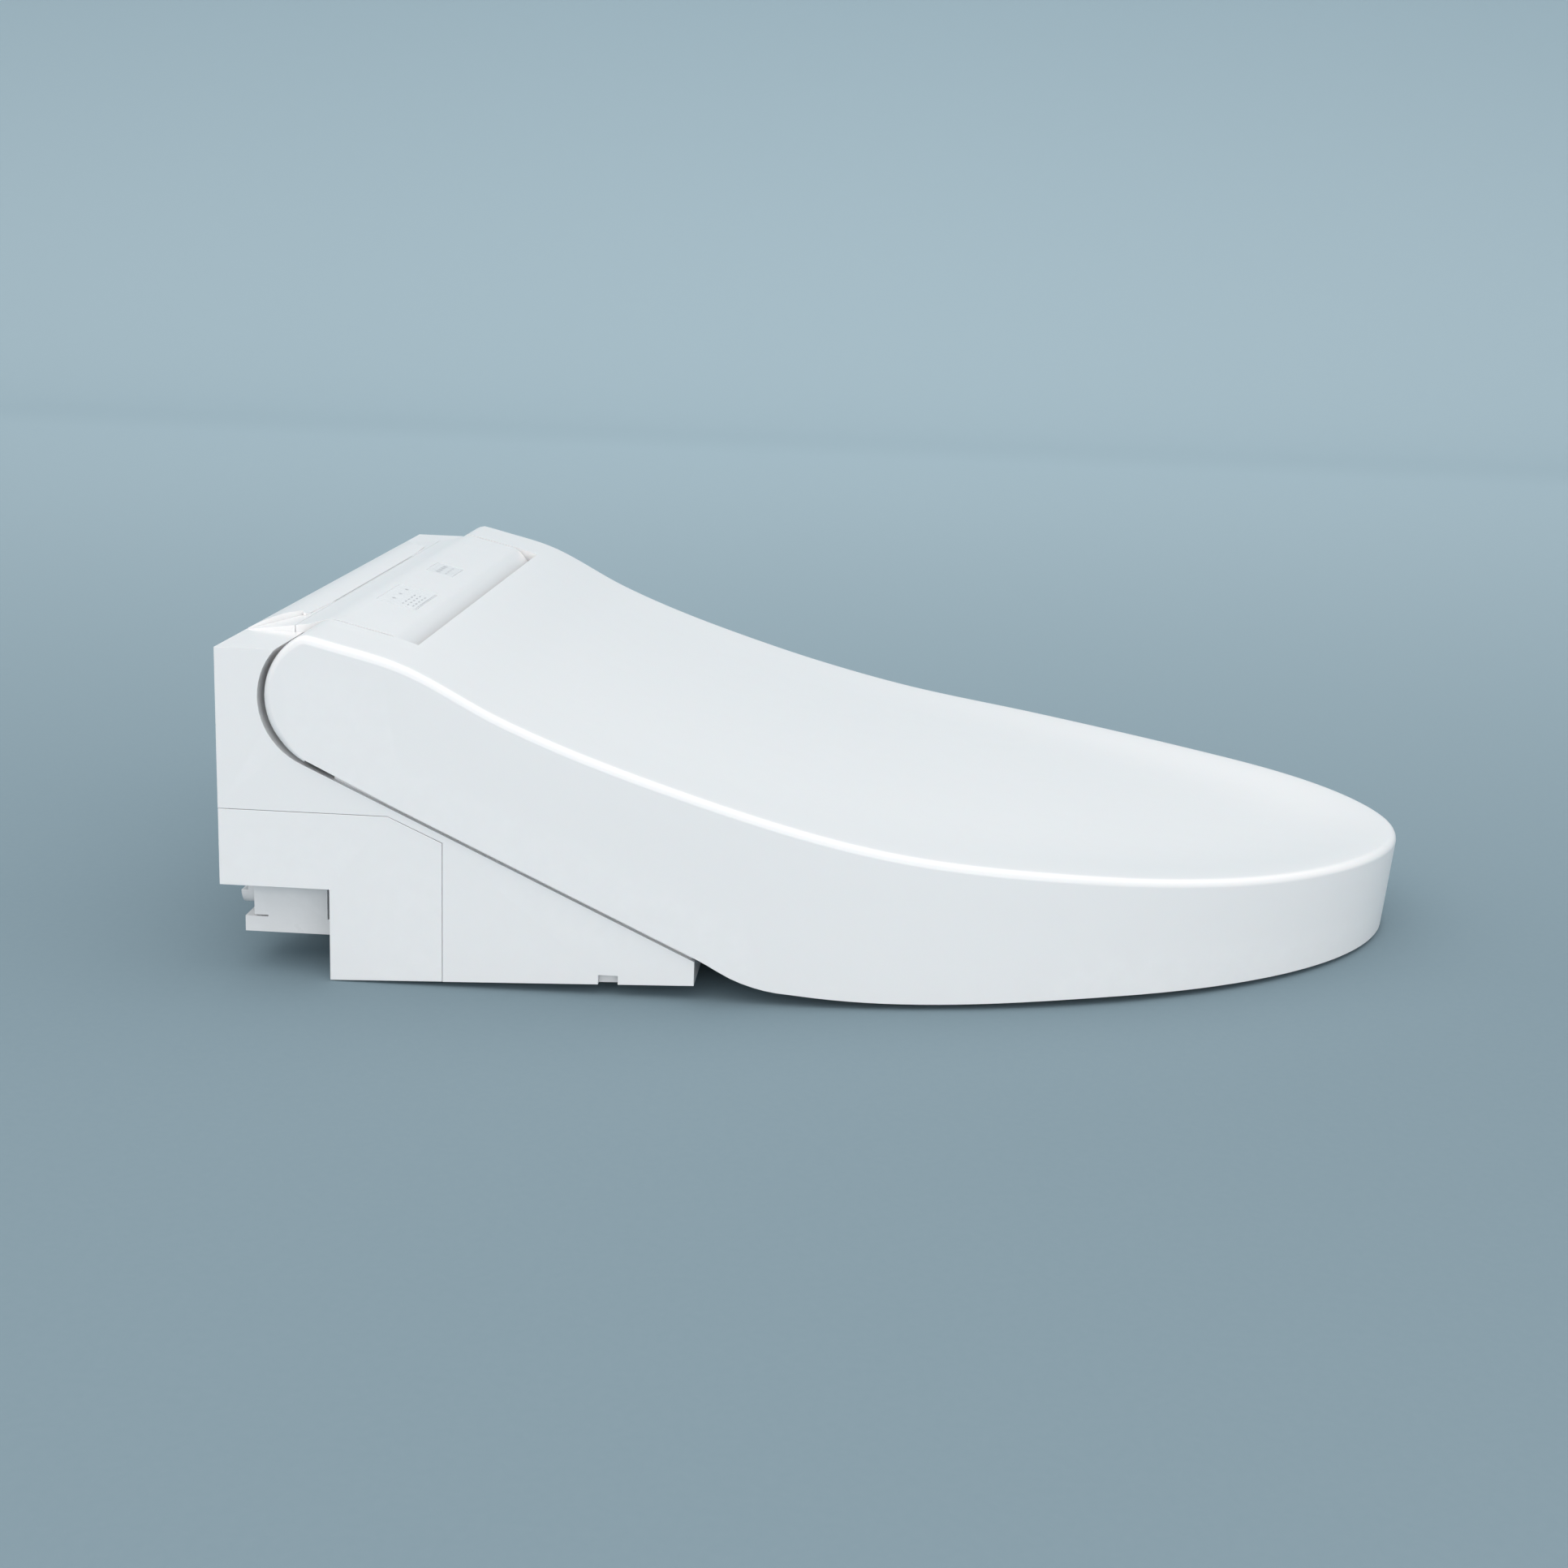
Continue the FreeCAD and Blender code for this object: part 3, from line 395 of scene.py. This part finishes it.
def edge_wear_and_highlight_group():
    """Convex edges, painted lighter in broken patches: partly handling wear, partly a painted highlight."""
    tree, given, made = shade_group(
        "edge_wear_and_highlight", [("Amount", "NodeSocketFloat", 0.4)], [("Mask", "NodeSocketFloat")])
    geometry = tree.nodes.new("ShaderNodeNewGeometry")
    convex = remap(tree, geometry.outputs["Pointiness"], 0.51, 0.58, 0.0, 1.0)
    broken = remap(tree, noise(tree, 130.0, 4.0, 0.6), 0.35, 0.7, 0.2, 1.0)
    mask = times(tree, times(tree, convex, broken), given.outputs["Amount"])
    tree.links.new(mask, made.inputs["Mask"])
    return tree


MOULDED = moulded_surface_group()
DUST = dust_group()
EDGE_WEAR_AND_HIGHLIGHT = edge_wear_and_highlight_group()


def use_group(tree, group, **values):
    """Place a node group in a material, with its input values."""
    node = tree.nodes.new("ShaderNodeGroup")
    node.node_tree = group
    for label, value in values.items():
        node.inputs[label.replace("_", " ")].default_value = value
    return node


def blend_colour(tree, share, a, b):
    """Colour a turning to b; each is a colour or a socket."""
    node = tree.nodes.new("ShaderNodeMix")
    node.data_type = "RGBA"
    tree.links.new(share, node.inputs["Factor"])
    for label, colour in (("A", a), ("B", b)):
        socket = [s for s in node.inputs if s.name == label and s.type == "RGBA"][0]
        if isinstance(colour, bpy.types.NodeSocket):
            tree.links.new(colour, socket)
        else:
            socket.default_value = (*colour, 1.0)
    return [s for s in node.outputs if s.type == "RGBA"][0]


def surface(name, **constants):
    """A material with its Principled shader, constant sockets set; returns all three."""
    material = bpy.data.materials.new(name)
    material.use_nodes = True
    tree = material.node_tree
    shader = tree.nodes["Principled BSDF"]
    for label, value in constants.items():
        shader.inputs[label.replace("_", " ")].default_value = value
    return material, tree, shader


LINT = (0.74, 0.735, 0.725)
EDGE_WEAR_AND_HIGHLIGHT_GAIN = 1.04


def plastic(name, light, shade, rough, grain=(1400.0, 2e-5), wave=6e-5, dust=0.05, **constants):
    """Moulded plastic: two close colours, uneven gloss, mould grain, edges painted lighter as wear and
    painted highlight, and dust.
    """
    material, tree, shader = surface(name, **constants)
    mould = use_group(tree, MOULDED, Grain_Scale=grain[0], Grain_Depth=grain[1], Wave_Depth=wave)
    mottle = remap(tree, mould.outputs["Mottle"], 0.3, 0.7, 0.0, 1.0)
    edges = use_group(tree, EDGE_WEAR_AND_HIGHLIGHT, Amount=0.5)
    lint = use_group(tree, DUST, Amount=dust)
    colour = blend_colour(tree, mottle, light, shade)
    # Convex edges are painted lighter: partly wear, partly a painted highlight.
    brighter = tuple(min(1.0, c * EDGE_WEAR_AND_HIGHLIGHT_GAIN) for c in light)
    colour = blend_colour(tree, edges.outputs["Mask"], colour, brighter)
    colour = blend_colour(tree, lint.outputs["Mask"], colour, LINT)
    tree.links.new(colour, shader.inputs["Base Color"])
    tree.links.new(remap(tree, mould.outputs["Mottle"], 0.25, 0.75, rough[0], rough[1]),
                   shader.inputs["Roughness"])
    tree.links.new(mould.outputs["Normal"], shader.inputs["Normal"])
    return material


white_gloss = plastic(
    "white_gloss_plastic", (0.83, 0.833, 0.838), (0.823, 0.826, 0.831), (0.28, 0.32),
    grain=(1600.0, 2e-6), wave=3e-5, dust=0.006, Coat_Weight=0.12, Coat_Roughness=0.16,
    Subsurface_Weight=0.04, Subsurface_Scale=0.002)


def place(piece, body, material, slot, *nodes):
    """Give the piece its finish and its body, and hide the plain nodes that it stands for."""
    piece.data.materials.clear()
    piece.data.materials.append(material)
    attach(piece, body)
    if nodes:
        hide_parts(*nodes)
    return piece


place(lid, "lid", white_gloss, "white_gloss", "lid_shell")


# =========================================================================================
# Lid hinge bosses
# Thick rings inside the lid's arms that turn on the steel shafts. They are moulded with the
# lid, and each has a bore for the shaft and a rounded rim.
# =========================================================================================
def ring_object(name, x0, x1, outer, bore, y, z, chamfer, count=64):
    """A bored cylinder along X with chamfered rims, turned as one closed profile."""
    profile = [(x0, bore), (x0, outer - chamfer), (x0 + chamfer, outer),
               (x1 - chamfer, outer), (x1, outer - chamfer), (x1, bore)]
    skin = Skin()
    rows = []
    for i in range(count + 1):
        turn = 2 * math.pi * i / count
        rows.append([(x, y + r * math.cos(turn), z + r * math.sin(turn)) for x, r in profile + profile[:1]])
    skin.grid(rows)
    return settle(skin.object(name), 30)


BOSS_X = (166.0, 190.0)
BOSS_R = 14.0
BOSS_BORE_R = 6.0
BOSS_CHAMFER = 0.8

for label, x0, x1 in (("right", -BOSS_X[1], -BOSS_X[0]), ("left", *BOSS_X)):
    boss = ring_object(label + "_lid_boss", x0, x1, BOSS_R, BOSS_BORE_R, HINGE_Y, HINGE_Z, BOSS_CHAMFER)
    place(boss, "lid", white_gloss, "white_gloss")


# =========================================================================================
# Housing of the washing unit
# Rear cover, control cover and two clip-on side covers, all glossy white mouldings with small
# edge radii. The shadow lines between them are real gaps.
# =========================================================================================
BODY_SIDE_X = 190.5
ARM_HOLE_REACH = (29.3, 32)
COVER_REAR_Y = 8.2
OVERHANG_Z = 38


def rounded_copy(node, name, radius, segments=3, angle=35, is_soft=None, soft_radius=1.6):
    """A copy of a plain node with its facets merged and its edges rounded, some of them more."""
    mesh = frame["nodes"][node].data.copy()
    work = bmesh.new()
    work.from_mesh(mesh)
    bmesh.ops.remove_doubles(work, verts=work.verts, dist=MERGE_DISTANCE * MM)
    bmesh.ops.dissolve_limit(work, angle_limit=math.radians(1), verts=work.verts, edges=work.edges)
    widest = soft_radius if is_soft else radius
    weight = work.edges.layers.float.new("bevel_weight_edge")
    for edge in work.edges:
        if len(edge.link_faces) == 2 and edge.calc_face_angle() > math.radians(angle):
            middle = (edge.verts[0].co + edge.verts[1].co) / (2 * MM)
            edge[weight] = 1.0 if is_soft and is_soft(middle) else radius / widest
    work.to_mesh(mesh)
    work.free()
    copy = bpy.data.objects.new(name, mesh)
    bpy.context.scene.collection.objects.link(copy)
    round_edges(copy, widest, segments, angle).modifiers[0].limit_method = "WEIGHT"
    return settle(copy)


def beside_arm(point):
    """True on the housing's outer edge round the lid's arm."""
    reach = math.hypot(point.y - HINGE_Y, point.z - HINGE_Z)
    return (abs(point.x) > BODY_SIDE_X and point.y > HINGE_Y
            and ARM_HOLE_REACH[0] < reach < ARM_HOLE_REACH[1])


def at_lower_rear(point):
    """True on a side cover's upright rear edge, under the overhang."""
    return abs(point.x) > BODY_SIDE_X and abs(point.y - COVER_REAR_Y) < 0.6 and point.z < OVERHANG_Z


place(rounded_copy("rear_cover", "rear_cover_moulding", 1.2, 4, is_soft=beside_arm), "washing_unit",
      white_gloss, "white_gloss", "rear_cover")
place(rounded_copy("control_cover", "control_cover_moulding", 1.0), "washing_unit",
      white_gloss, "white_gloss", "control_cover")
for side in ("right", "left"):
    node = side + "_side_cover"
    place(rounded_copy(node, node + "_moulding", 0.7, is_soft=at_lower_rear), node,
          white_gloss, "white_gloss", node)


# =========================================================================================
# Skirt lips and rear hood
# A low upstand inside each side of the housing closes the slit under the lid's hem, but stops
# short of the round arm so that the lid can turn past it. The hood is a shallow raised panel
# behind the control cover, with a step down to each shoulder.
# =========================================================================================
LIP_X = (185.6, 187.8)
LIP_FROM_Y = -146.0
LIP_TO_Y = 6.0
LIP_DEPTH = 8
LIP_HEIGHT = 4.0
LIP_CHAMFER = (0.5, 0.8)
LIP_FLOOR = 7.0
HOOD_EDGE = [(34.0, 80.0), (35.0, 105.0), (39.0, 116.0), (44.0, 126.0), (49.0, 136.0), (54.5, 145.0)]
HOOD_RISE = 2.6
HOOD_UNDERCUT = 0.6
HOOD_SWELL = (33.6, 21.6)
COVER_BACK = [(27.0, 145.4), (55.0, 141.7)]

for label, side in (("right", -1), ("left", 1)):
    lip = Skin()
    rows = []
    for y in np.linspace(LIP_FROM_Y, LIP_TO_Y, 40):
        z = ARM_TANGENT[1] + SIDE_SLOPE * (y - ARM_TANGENT[0])
        low, high = z - LIP_DEPTH, z + LIP_HEIGHT
        inner, outer = LIP_X
        section = [(inner, low), (outer, low), (outer, high - LIP_CHAMFER[1]),
                   (outer - LIP_CHAMFER[0], high), (inner + LIP_CHAMFER[0], high),
                   (inner, high - LIP_CHAMFER[1])]
        rows.append([(side * x, y, max(height, LIP_FLOOR)) for x, height in section + section[:1]])
    lip.grid(rows)
    lip.face(rows[0][:-1])
    lip.face(rows[-1][:-1])
    upstand = settle(lip.object(label + "_skirt_lip"))
    place(upstand, "washing_unit", white_gloss, "white_gloss")

hood = Skin()
rows = []
for y in np.linspace(HOOD_EDGE[0][0], HOOD_EDGE[-1][0], 28):
    half = float(curve_height(HOOD_EDGE, y))
    base = float(np.interp(y, *zip(*COVER_BACK)))
    top = base + HOOD_RISE * math.sin(math.pi * (y - HOOD_SWELL[0]) / HOOD_SWELL[1])
    across = [(half - HOOD_UNDERCUT, base - 0.6), (half, base + 0.1), (half - 0.1, top - 0.5),
              (half - 0.6, top)]
    line = [(-x, y, z) for x, z in across]
    line += [(x, y, top) for x in np.linspace(-half + 3, half - 3, 20)]
    rows.append(line + [(x, y, z) for x, z in reversed(across)])
hood.grid(rows)
rear_hood = hood.object("rear_hood")
face_up(rear_hood, Vector((0, 0.045, 0.147)))
place(settle(rear_hood), "washing_unit", white_gloss, "white_gloss")


# =========================================================================================
# Control panel marks
# Printed grey marks on the clear film: three indicator dots, rows of short bars and one fine
# line, with a smaller group of dots and bars over the sensor. They carry no lettering.
# =========================================================================================
def marks_tree(name):
    """Geometry nodes that lay a row of small flat marks, with rounded or square ends."""
    tree = bpy.data.node_groups.new(name, "GeometryNodeTree")
    for label, kind, value in (("Count", "NodeSocketInt", 3), ("Width", "NodeSocketFloat", 0.001),
                               ("Length", "NodeSocketFloat", 0.001), ("Corners", "NodeSocketInt", 4)):
        tree.interface.new_socket(name=label, in_out="INPUT", socket_type=kind).default_value = value
    for label in ("Start", "Step"):
        tree.interface.new_socket(name=label, in_out="INPUT", socket_type="NodeSocketVector")
    tree.interface.new_socket(name="Tilt", in_out="INPUT", socket_type="NodeSocketFloat")
    tree.interface.new_socket(name="Ink", in_out="INPUT", socket_type="NodeSocketMaterial")
    tree.interface.new_socket(name="Marks", in_out="OUTPUT", socket_type="NodeSocketGeometry")
    given = tree.nodes.new("NodeGroupInput").outputs
    row = tree.nodes.new("GeometryNodeMeshLine")
    tree.links.new(given["Count"], row.inputs["Count"])
    tree.links.new(given["Start"], row.inputs["Start Location"])
    tree.links.new(given["Step"], row.inputs["Offset"])
    mark = tree.nodes.new("GeometryNodeMeshCircle")
    mark.fill_type = "NGON"
    tree.links.new(given["Corners"], mark.inputs["Vertices"])
    mark.inputs["Radius"].default_value = 1.0
    size = tree.nodes.new("ShaderNodeCombineXYZ")
    tree.links.new(given["Width"], size.inputs["X"])
    tree.links.new(given["Length"], size.inputs["Y"])
    turn = tree.nodes.new("ShaderNodeCombineXYZ")
    tree.links.new(given["Tilt"], turn.inputs["X"])
    laid = tree.nodes.new("GeometryNodeInstanceOnPoints")
    tree.links.new(row.outputs["Mesh"], laid.inputs["Points"])
    tree.links.new(mark.outputs["Mesh"], laid.inputs["Instance"])
    tree.links.new(turn.outputs[0], laid.inputs["Rotation"])
    tree.links.new(size.outputs[0], laid.inputs["Scale"])
    real = tree.nodes.new("GeometryNodeRealizeInstances")
    tree.links.new(laid.outputs["Instances"], real.inputs["Geometry"])
    inked = tree.nodes.new("GeometryNodeSetMaterial")
    tree.links.new(real.outputs["Geometry"], inked.inputs["Geometry"])
    tree.links.new(given["Ink"], inked.inputs["Material"])
    tree.links.new(inked.outputs["Geometry"], tree.nodes.new("NodeGroupOutput").inputs["Marks"])
    return tree


def printed_ink(name, light, dark):
    """Thin screen-printed ink, slightly uneven in strength."""
    material, tree, shader = surface(name, Coat_Weight=0.4, Coat_Roughness=0.1)
    strength = remap(tree, noise(tree, 900.0, 4.0), 0.3, 0.7, 0.0, 1.0)
    tree.links.new(blend_colour(tree, strength, light, dark), shader.inputs["Base Color"])
    tree.links.new(remap(tree, strength, 0.0, 1.0, 0.3, 0.45), shader.inputs["Roughness"])
    return material


mark_ink = printed_ink("grey_ink", (0.50, 0.50, 0.52), (0.60, 0.60, 0.62))
MARKS = marks_tree("panel_marks")
MARK_LIFT = 0.07
NOSE_POINTS = [(-9.0, 142.2), (10.5, 146.7)]


def panel_height(y):
    """Height of the control cover's front slope, with a hair's lift for the ink."""
    return float(np.interp(y, *zip(*NOSE_POINTS))) + MARK_LIFT


def mark_row(name, count, x, y, step, width, length, corners):
    """One row of marks along X on the control cover's slope."""
    (y0, z0), (y1, z1) = NOSE_POINTS
    slope = math.atan2(z1 - z0, y1 - y0)
    row = bpy.data.objects.new(name, bpy.data.meshes.new(name))
    bpy.context.scene.collection.objects.link(row)
    maker = row.modifiers.new("marks", "NODES")
    maker.node_group = MARKS
    sockets = {item.name: item.identifier for item in MARKS.interface.items_tree if item.in_out == "INPUT"}
    values = {"Count": count, "Width": width * MM, "Length": length * MM, "Corners": corners,
              "Start": (x * MM, y * MM, panel_height(y) * MM), "Step": (step * MM, 0.0, 0.0),
              "Tilt": slope, "Ink": mark_ink}
    for label, value in values.items():
        maker[sockets[label]] = value
    bake_modifiers(row)
    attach(row, "washing_unit")


mark_row("indicator_dots", 3, -71, 8, 13, 0.9, 0.9, 20)
for i, y in enumerate((2.4, 0.0, -2.4)):
    mark_row("panel_bars_%d" % i, 5, -77, y, 6, 1.9, 0.45, 4)
mark_row("panel_line", 1, -60, -4.4, 1, 28, 0.22, 4)
mark_row("sensor_marks", 4, 20, 7.0, 5.5, 1.2, 1.2, 24)
mark_row("sensor_bars", 4, 20, 3.0, 5.5, 1.8, 0.4, 4)


# =========================================================================================
# Seat
# A hollow heated ring in slightly softer white plastic: an upper and a lower moulding with a
# fine joint between them, and four grey rubber pads under it.
# =========================================================================================
white_seat = plastic(
    "white_seat_plastic", (0.83, 0.83, 0.832), (0.82, 0.82, 0.822), (0.28, 0.32),
    grain=(1300.0, 2e-6), wave=2e-5, dust=0.006, Coat_Weight=0.15, Coat_Roughness=0.15)
rubber_pad = plastic(
    "grey_rubber", (0.42, 0.42, 0.43), (0.36, 0.36, 0.37), (0.6, 0.78),
    grain=(2600.0, 5e-5), wave=2e-5, dust=0.25, Specular_IOR_Level=0.35)
for node, name, radius, segments, body, material, slot in (
        ("seat_top", "seat_top_moulding", 3.0, 4, "seat", white_seat, "white_seat"),
        ("seat_base", "seat_base_moulding", 1.0, 2, "seat", white_seat, "white_seat"),
        ("seat_bumpers", "seat_pads", 1.2, 3, "seat", rubber_pad, "rubber_pad"),
        ("lid_bumpers", "lid_pads", 0.8, 3, "lid", rubber_pad, "rubber_pad")):
    place(rounded_copy(node, name, radius, segments), body, material, slot, node)


# =========================================================================================
# Case bottom, base plate and inlet
# Satin mouldings under and beside the housing: the tray, the plate that is bolted to the bowl,
# and the water inlet with its filter plug. The gland and the release button keep plain shapes.
# =========================================================================================
pale_plastic = plastic(
    "pale_plastic", (0.72, 0.72, 0.72), (0.68, 0.68, 0.685), (0.32, 0.45),
    grain=(1000.0, 3e-5), wave=6e-5, dust=0.1)
grey_inlet = plastic(
    "inlet_plastic", (0.78, 0.78, 0.785), (0.74, 0.74, 0.745), (0.26, 0.38),
    grain=(1200.0, 2e-5), wave=4e-5, dust=0.06)
black_plastic = plastic(
    "black_plastic", (0.022, 0.022, 0.024), (0.03, 0.03, 0.032), (0.35, 0.5),
    grain=(1500.0, 3e-5), wave=3e-5, dust=0.12)
for node, name, radius, segments, body, material, slot in (
        ("base_case", "base_case_moulding", 0.5, 2, "washing_unit", pale_plastic, "pale_plastic"),
        ("base_plate", "base_plate_moulding", 0.5, 2, "base_plate", pale_plastic, "pale_plastic"),
        ("water_inlet", "water_inlet_body", 1.0, 3, "washing_unit", grey_inlet, "grey_inlet"),
        ("filter_plug", "filter_plug_cap", 0.6, 3, "filter_plug", grey_inlet, "grey_inlet")):
    place(rounded_copy(node, name, radius, segments), body, material, slot, node)


# =========================================================================================
# Everything inside
# Pumps, heaters, fans, boards, gears, shafts and screws keep their built shapes. Each gets the
# finish that its own material has.
# =========================================================================================
def brushed_metal(name, light, dark, rough):
    """Drawn or turned metal with fine streaks along X."""
    material, tree, shader = surface(name, Metallic=1.0)
    place_in = tree.nodes.new("ShaderNodeMapping")
    place_in.inputs["Scale"].default_value = (25.0, 900.0, 900.0)
    tree.links.new(object_coordinates(tree), place_in.inputs["Vector"])
    streaks = noise(tree, 1.0, 3.0, 0.6, place_in.outputs["Vector"])
    stains = remap(tree, noise(tree, 90.0, 4.0), 0.35, 0.7, 0.0, 1.0)
    tree.links.new(blend_colour(tree, stains, light, dark), shader.inputs["Base Color"])
    tree.links.new(remap(tree, streaks, 0.3, 0.7, rough[0], rough[1]), shader.inputs["Roughness"])
    tree.links.new(bump(tree, streaks, 1e-5), shader.inputs["Normal"])
    return material


def circuit_board():
    """Green solder mask over copper tracks, with slightly raised lines."""
    material, tree, shader = surface("circuit_board", Coat_Weight=0.3, Coat_Roughness=0.1)
    tracks = tree.nodes.new("ShaderNodeTexBrick")
    tracks.inputs["Scale"].default_value = 130.0
    tracks.inputs["Mortar Size"].default_value = 0.03
    tree.links.new(object_coordinates(tree), tracks.inputs["Vector"])
    patches = remap(tree, noise(tree, 70.0, 2.0), 0.48, 0.52, 0.0, 1.0)
    share = times(tree, tracks.outputs["Fac"], patches)
    tree.links.new(blend_colour(tree, share, (0.015, 0.12, 0.04), (0.08, 0.30, 0.10)),
                   shader.inputs["Base Color"])
    tree.links.new(remap(tree, share, 0.0, 1.0, 0.42, 0.25), shader.inputs["Roughness"])
    tree.links.new(bump(tree, share, 4e-5), shader.inputs["Normal"])
    return material


def carbon_granules():
    """Pressed grains of activated carbon."""
    material, tree, shader = surface("carbon_granules", Specular_IOR_Level=0.3)
    grains = tree.nodes.new("ShaderNodeTexVoronoi")
    grains.inputs["Scale"].default_value = 900.0
    tree.links.new(object_coordinates(tree), grains.inputs["Vector"])
    spread = grains.outputs["Distance"]
    tree.links.new(blend_colour(tree, spread, (0.035, 0.034, 0.033), (0.008, 0.008, 0.008)),
                   shader.inputs["Base Color"])
    tree.links.new(remap(tree, spread, 0.0, 1.0, 0.65, 0.95), shader.inputs["Roughness"])
    tree.links.new(bump(tree, spread, 4e-4), shader.inputs["Normal"])
    return material


finishes = {
    "white_gloss": white_gloss,
    "white_seat": white_seat,
    "rubber_pad": rubber_pad,
    "pale_plastic": pale_plastic,
    "grey_inlet": grey_inlet,
    "black_plastic": black_plastic,
    "wand_white": plastic(
        "wand_plastic", (0.80, 0.80, 0.80), (0.77, 0.77, 0.775), (0.2, 0.3),
        grain=(1800.0, 8e-6), wave=2e-5, dust=0.02, Coat_Weight=0.2),
    # The film's colour is painted a shade lighter than the white mouldings: painted light that offsets the
    # shade in its pocket.
    "panel_film": plastic(
        "panel_film", (0.86, 0.862, 0.866), (0.85, 0.852, 0.856), (0.2, 0.26),
        grain=(2200.0, 2e-6), wave=1e-5, dust=0.006, Coat_Weight=0.15, Coat_Roughness=0.12),
    "dark_window": plastic(
        "sensor_window", (0.83, 0.832, 0.838), (0.82, 0.822, 0.828), (0.18, 0.24),
        grain=(2200.0, 2e-6), wave=1e-5, dust=0.006, Coat_Weight=0.15, Coat_Roughness=0.1),
    "steel": brushed_metal("hinge_steel", (0.60, 0.60, 0.61), (0.50, 0.50, 0.51), (0.22, 0.38)),
    "element_metal": brushed_metal("heater_metal", (0.48, 0.43, 0.38), (0.34, 0.29, 0.25), (0.35, 0.55)),
    "tank_plastic": plastic(
        "tank_plastic", (0.66, 0.66, 0.61), (0.61, 0.61, 0.55), (0.3, 0.42),
        grain=(900.0, 4e-5), wave=1e-4, dust=0.05, Transmission_Weight=0.2),
    "board_green": circuit_board(),
    "gear_nylon": plastic(
        "gear_nylon", (0.73, 0.72, 0.64), (0.69, 0.68, 0.59), (0.35, 0.5),
        grain=(1500.0, 3e-5), wave=2e-5, dust=0.05, Subsurface_Weight=0.1, Subsurface_Scale=0.001),
    "filter_carbon": carbon_granules(),
}
slot_of = {part["node"]: part["material_slot"] for part in frame["record"]["subparts"]}
for name, node in frame["nodes"].items():
    finish = finishes[slot_of[name]]
    if not node.data.materials:
        node.data.materials.append(finish)
    for held in node.material_slots:
        held.material = finish


# =========================================================================================
# Studio
# A blue-grey floor that curves up into a backdrop, painted paler towards the back as painted light, two
# large soft lights and the camera.
# =========================================================================================
FLOOR_Z = -0.3
STUDIO_HALF = 6000.0
BACK_TOP = 3500.0
BACK_X = 3600.0
BACK_R = 900.0
backdrop = Skin()
sweep = [(-STUDIO_HALF, FLOOR_Z), (0.0, FLOOR_Z), (BACK_X - BACK_R, FLOOR_Z)]
for turn in np.radians(np.linspace(0, 90, 19))[1:]:
    sweep.append((BACK_X - BACK_R + BACK_R * math.sin(turn), FLOOR_Z + BACK_R * (1 - math.cos(turn))))
sweep.append((BACK_X, BACK_TOP))
backdrop.grid([[(x, -STUDIO_HALF, z), (x, 0, z), (x, STUDIO_HALF, z)] for x, z in sweep])
floor = backdrop.object("studio_floor")
face_up(floor, Vector((0, 0, 0)))
floor.data.shade_smooth()
paper, paper_tree, paper_shader = surface("studio_paper", Roughness=0.9, Specular_IOR_Level=0.2)
fibres = remap(paper_tree, noise(paper_tree, 300.0, 3.0), 0.3, 0.7, 0.0, 1.0)
# Painted light: the paper's colour turns from a darker blue-grey at the front to a paler one towards the
# back and up the backdrop.
near = blend_colour(paper_tree, fibres, (0.210, 0.288, 0.332), (0.205, 0.283, 0.327))
distance = paper_tree.nodes.new("ShaderNodeSeparateXYZ")
paper_tree.links.new(object_coordinates(paper_tree), distance.inputs[0])
far = remap(paper_tree, distance.outputs["X"], -0.1, 2.4, 0.0, 1.0)
paper_tree.links.new(blend_colour(paper_tree, far, near, (0.42, 0.54, 0.60)),
                     paper_shader.inputs["Base Color"])
floor.data.materials.append(paper)
floor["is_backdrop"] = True

CENTRE = Vector((0, -0.21, 0.06))


def soft_light(name, place_at, aim, width, height, power):
    """A rectangular soft light that looks at a point."""
    lamp = bpy.data.lights.new(name, "AREA")
    lamp.shape = "RECTANGLE"
    lamp.size = width
    lamp.size_y = height
    lamp.energy = power
    holder = bpy.data.objects.new(name, lamp)
    holder.location = place_at
    holder.rotation_mode = "QUATERNION"
    holder.rotation_quaternion = (Vector(aim) - Vector(place_at)).to_track_quat("-Z", "Y")
    bpy.context.scene.collection.objects.link(holder)


soft_light("overhead", (0.1, -0.1, 1.9), CENTRE, 4.0, 4.0, 20)
soft_light("camera_side", (-2.6, -0.5, 0.62), CENTRE, 4.0, 1.1, 26)
world = bpy.data.worlds.new("studio")
world.use_nodes = True
sky = world.node_tree
height = sky.nodes.new("ShaderNodeSeparateXYZ")
sky.links.new(sky.nodes.new("ShaderNodeTexCoord").outputs["Generated"], height.inputs[0])
level = remap(sky, height.outputs["Z"], -0.2, 1.0, 0.0, 1.0)
sky.links.new(blend_colour(sky, level, (0.78, 0.78, 0.785), (0.93, 0.93, 0.93)),
              sky.nodes["Background"].inputs["Color"])
sky.nodes["Background"].inputs["Strength"].default_value = 1.04
bpy.context.scene.world = world
bpy.context.scene.view_settings.view_transform = "Standard"

CAMERA_AT = Vector((-1.0751, -0.2300, 0.3078))
CAMERA_DOWN = math.radians(13.49)
CAMERA_TURN = math.radians(3.09)
CAMERA_ROLL = math.radians(2.07)
forward = Vector((math.cos(CAMERA_DOWN) * math.cos(CAMERA_TURN),
                  math.cos(CAMERA_DOWN) * math.sin(CAMERA_TURN), -math.sin(CAMERA_DOWN)))
level_right = forward.cross(Vector((0, 0, 1))).normalized()
level_up = level_right.cross(forward)
right = math.cos(CAMERA_ROLL) * level_right + math.sin(CAMERA_ROLL) * level_up
up = math.cos(CAMERA_ROLL) * level_up - math.sin(CAMERA_ROLL) * level_right
lens = bpy.data.cameras.new("camera")
lens.lens = 50.83
lens.sensor_width = 36.0
camera = bpy.data.objects.new("camera", lens)
camera.matrix_world = Matrix.Translation(CAMERA_AT) @ Matrix((right, up, -forward)).transposed().to_4x4()
bpy.context.scene.collection.objects.link(camera)
bpy.context.scene.camera = camera


low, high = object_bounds()
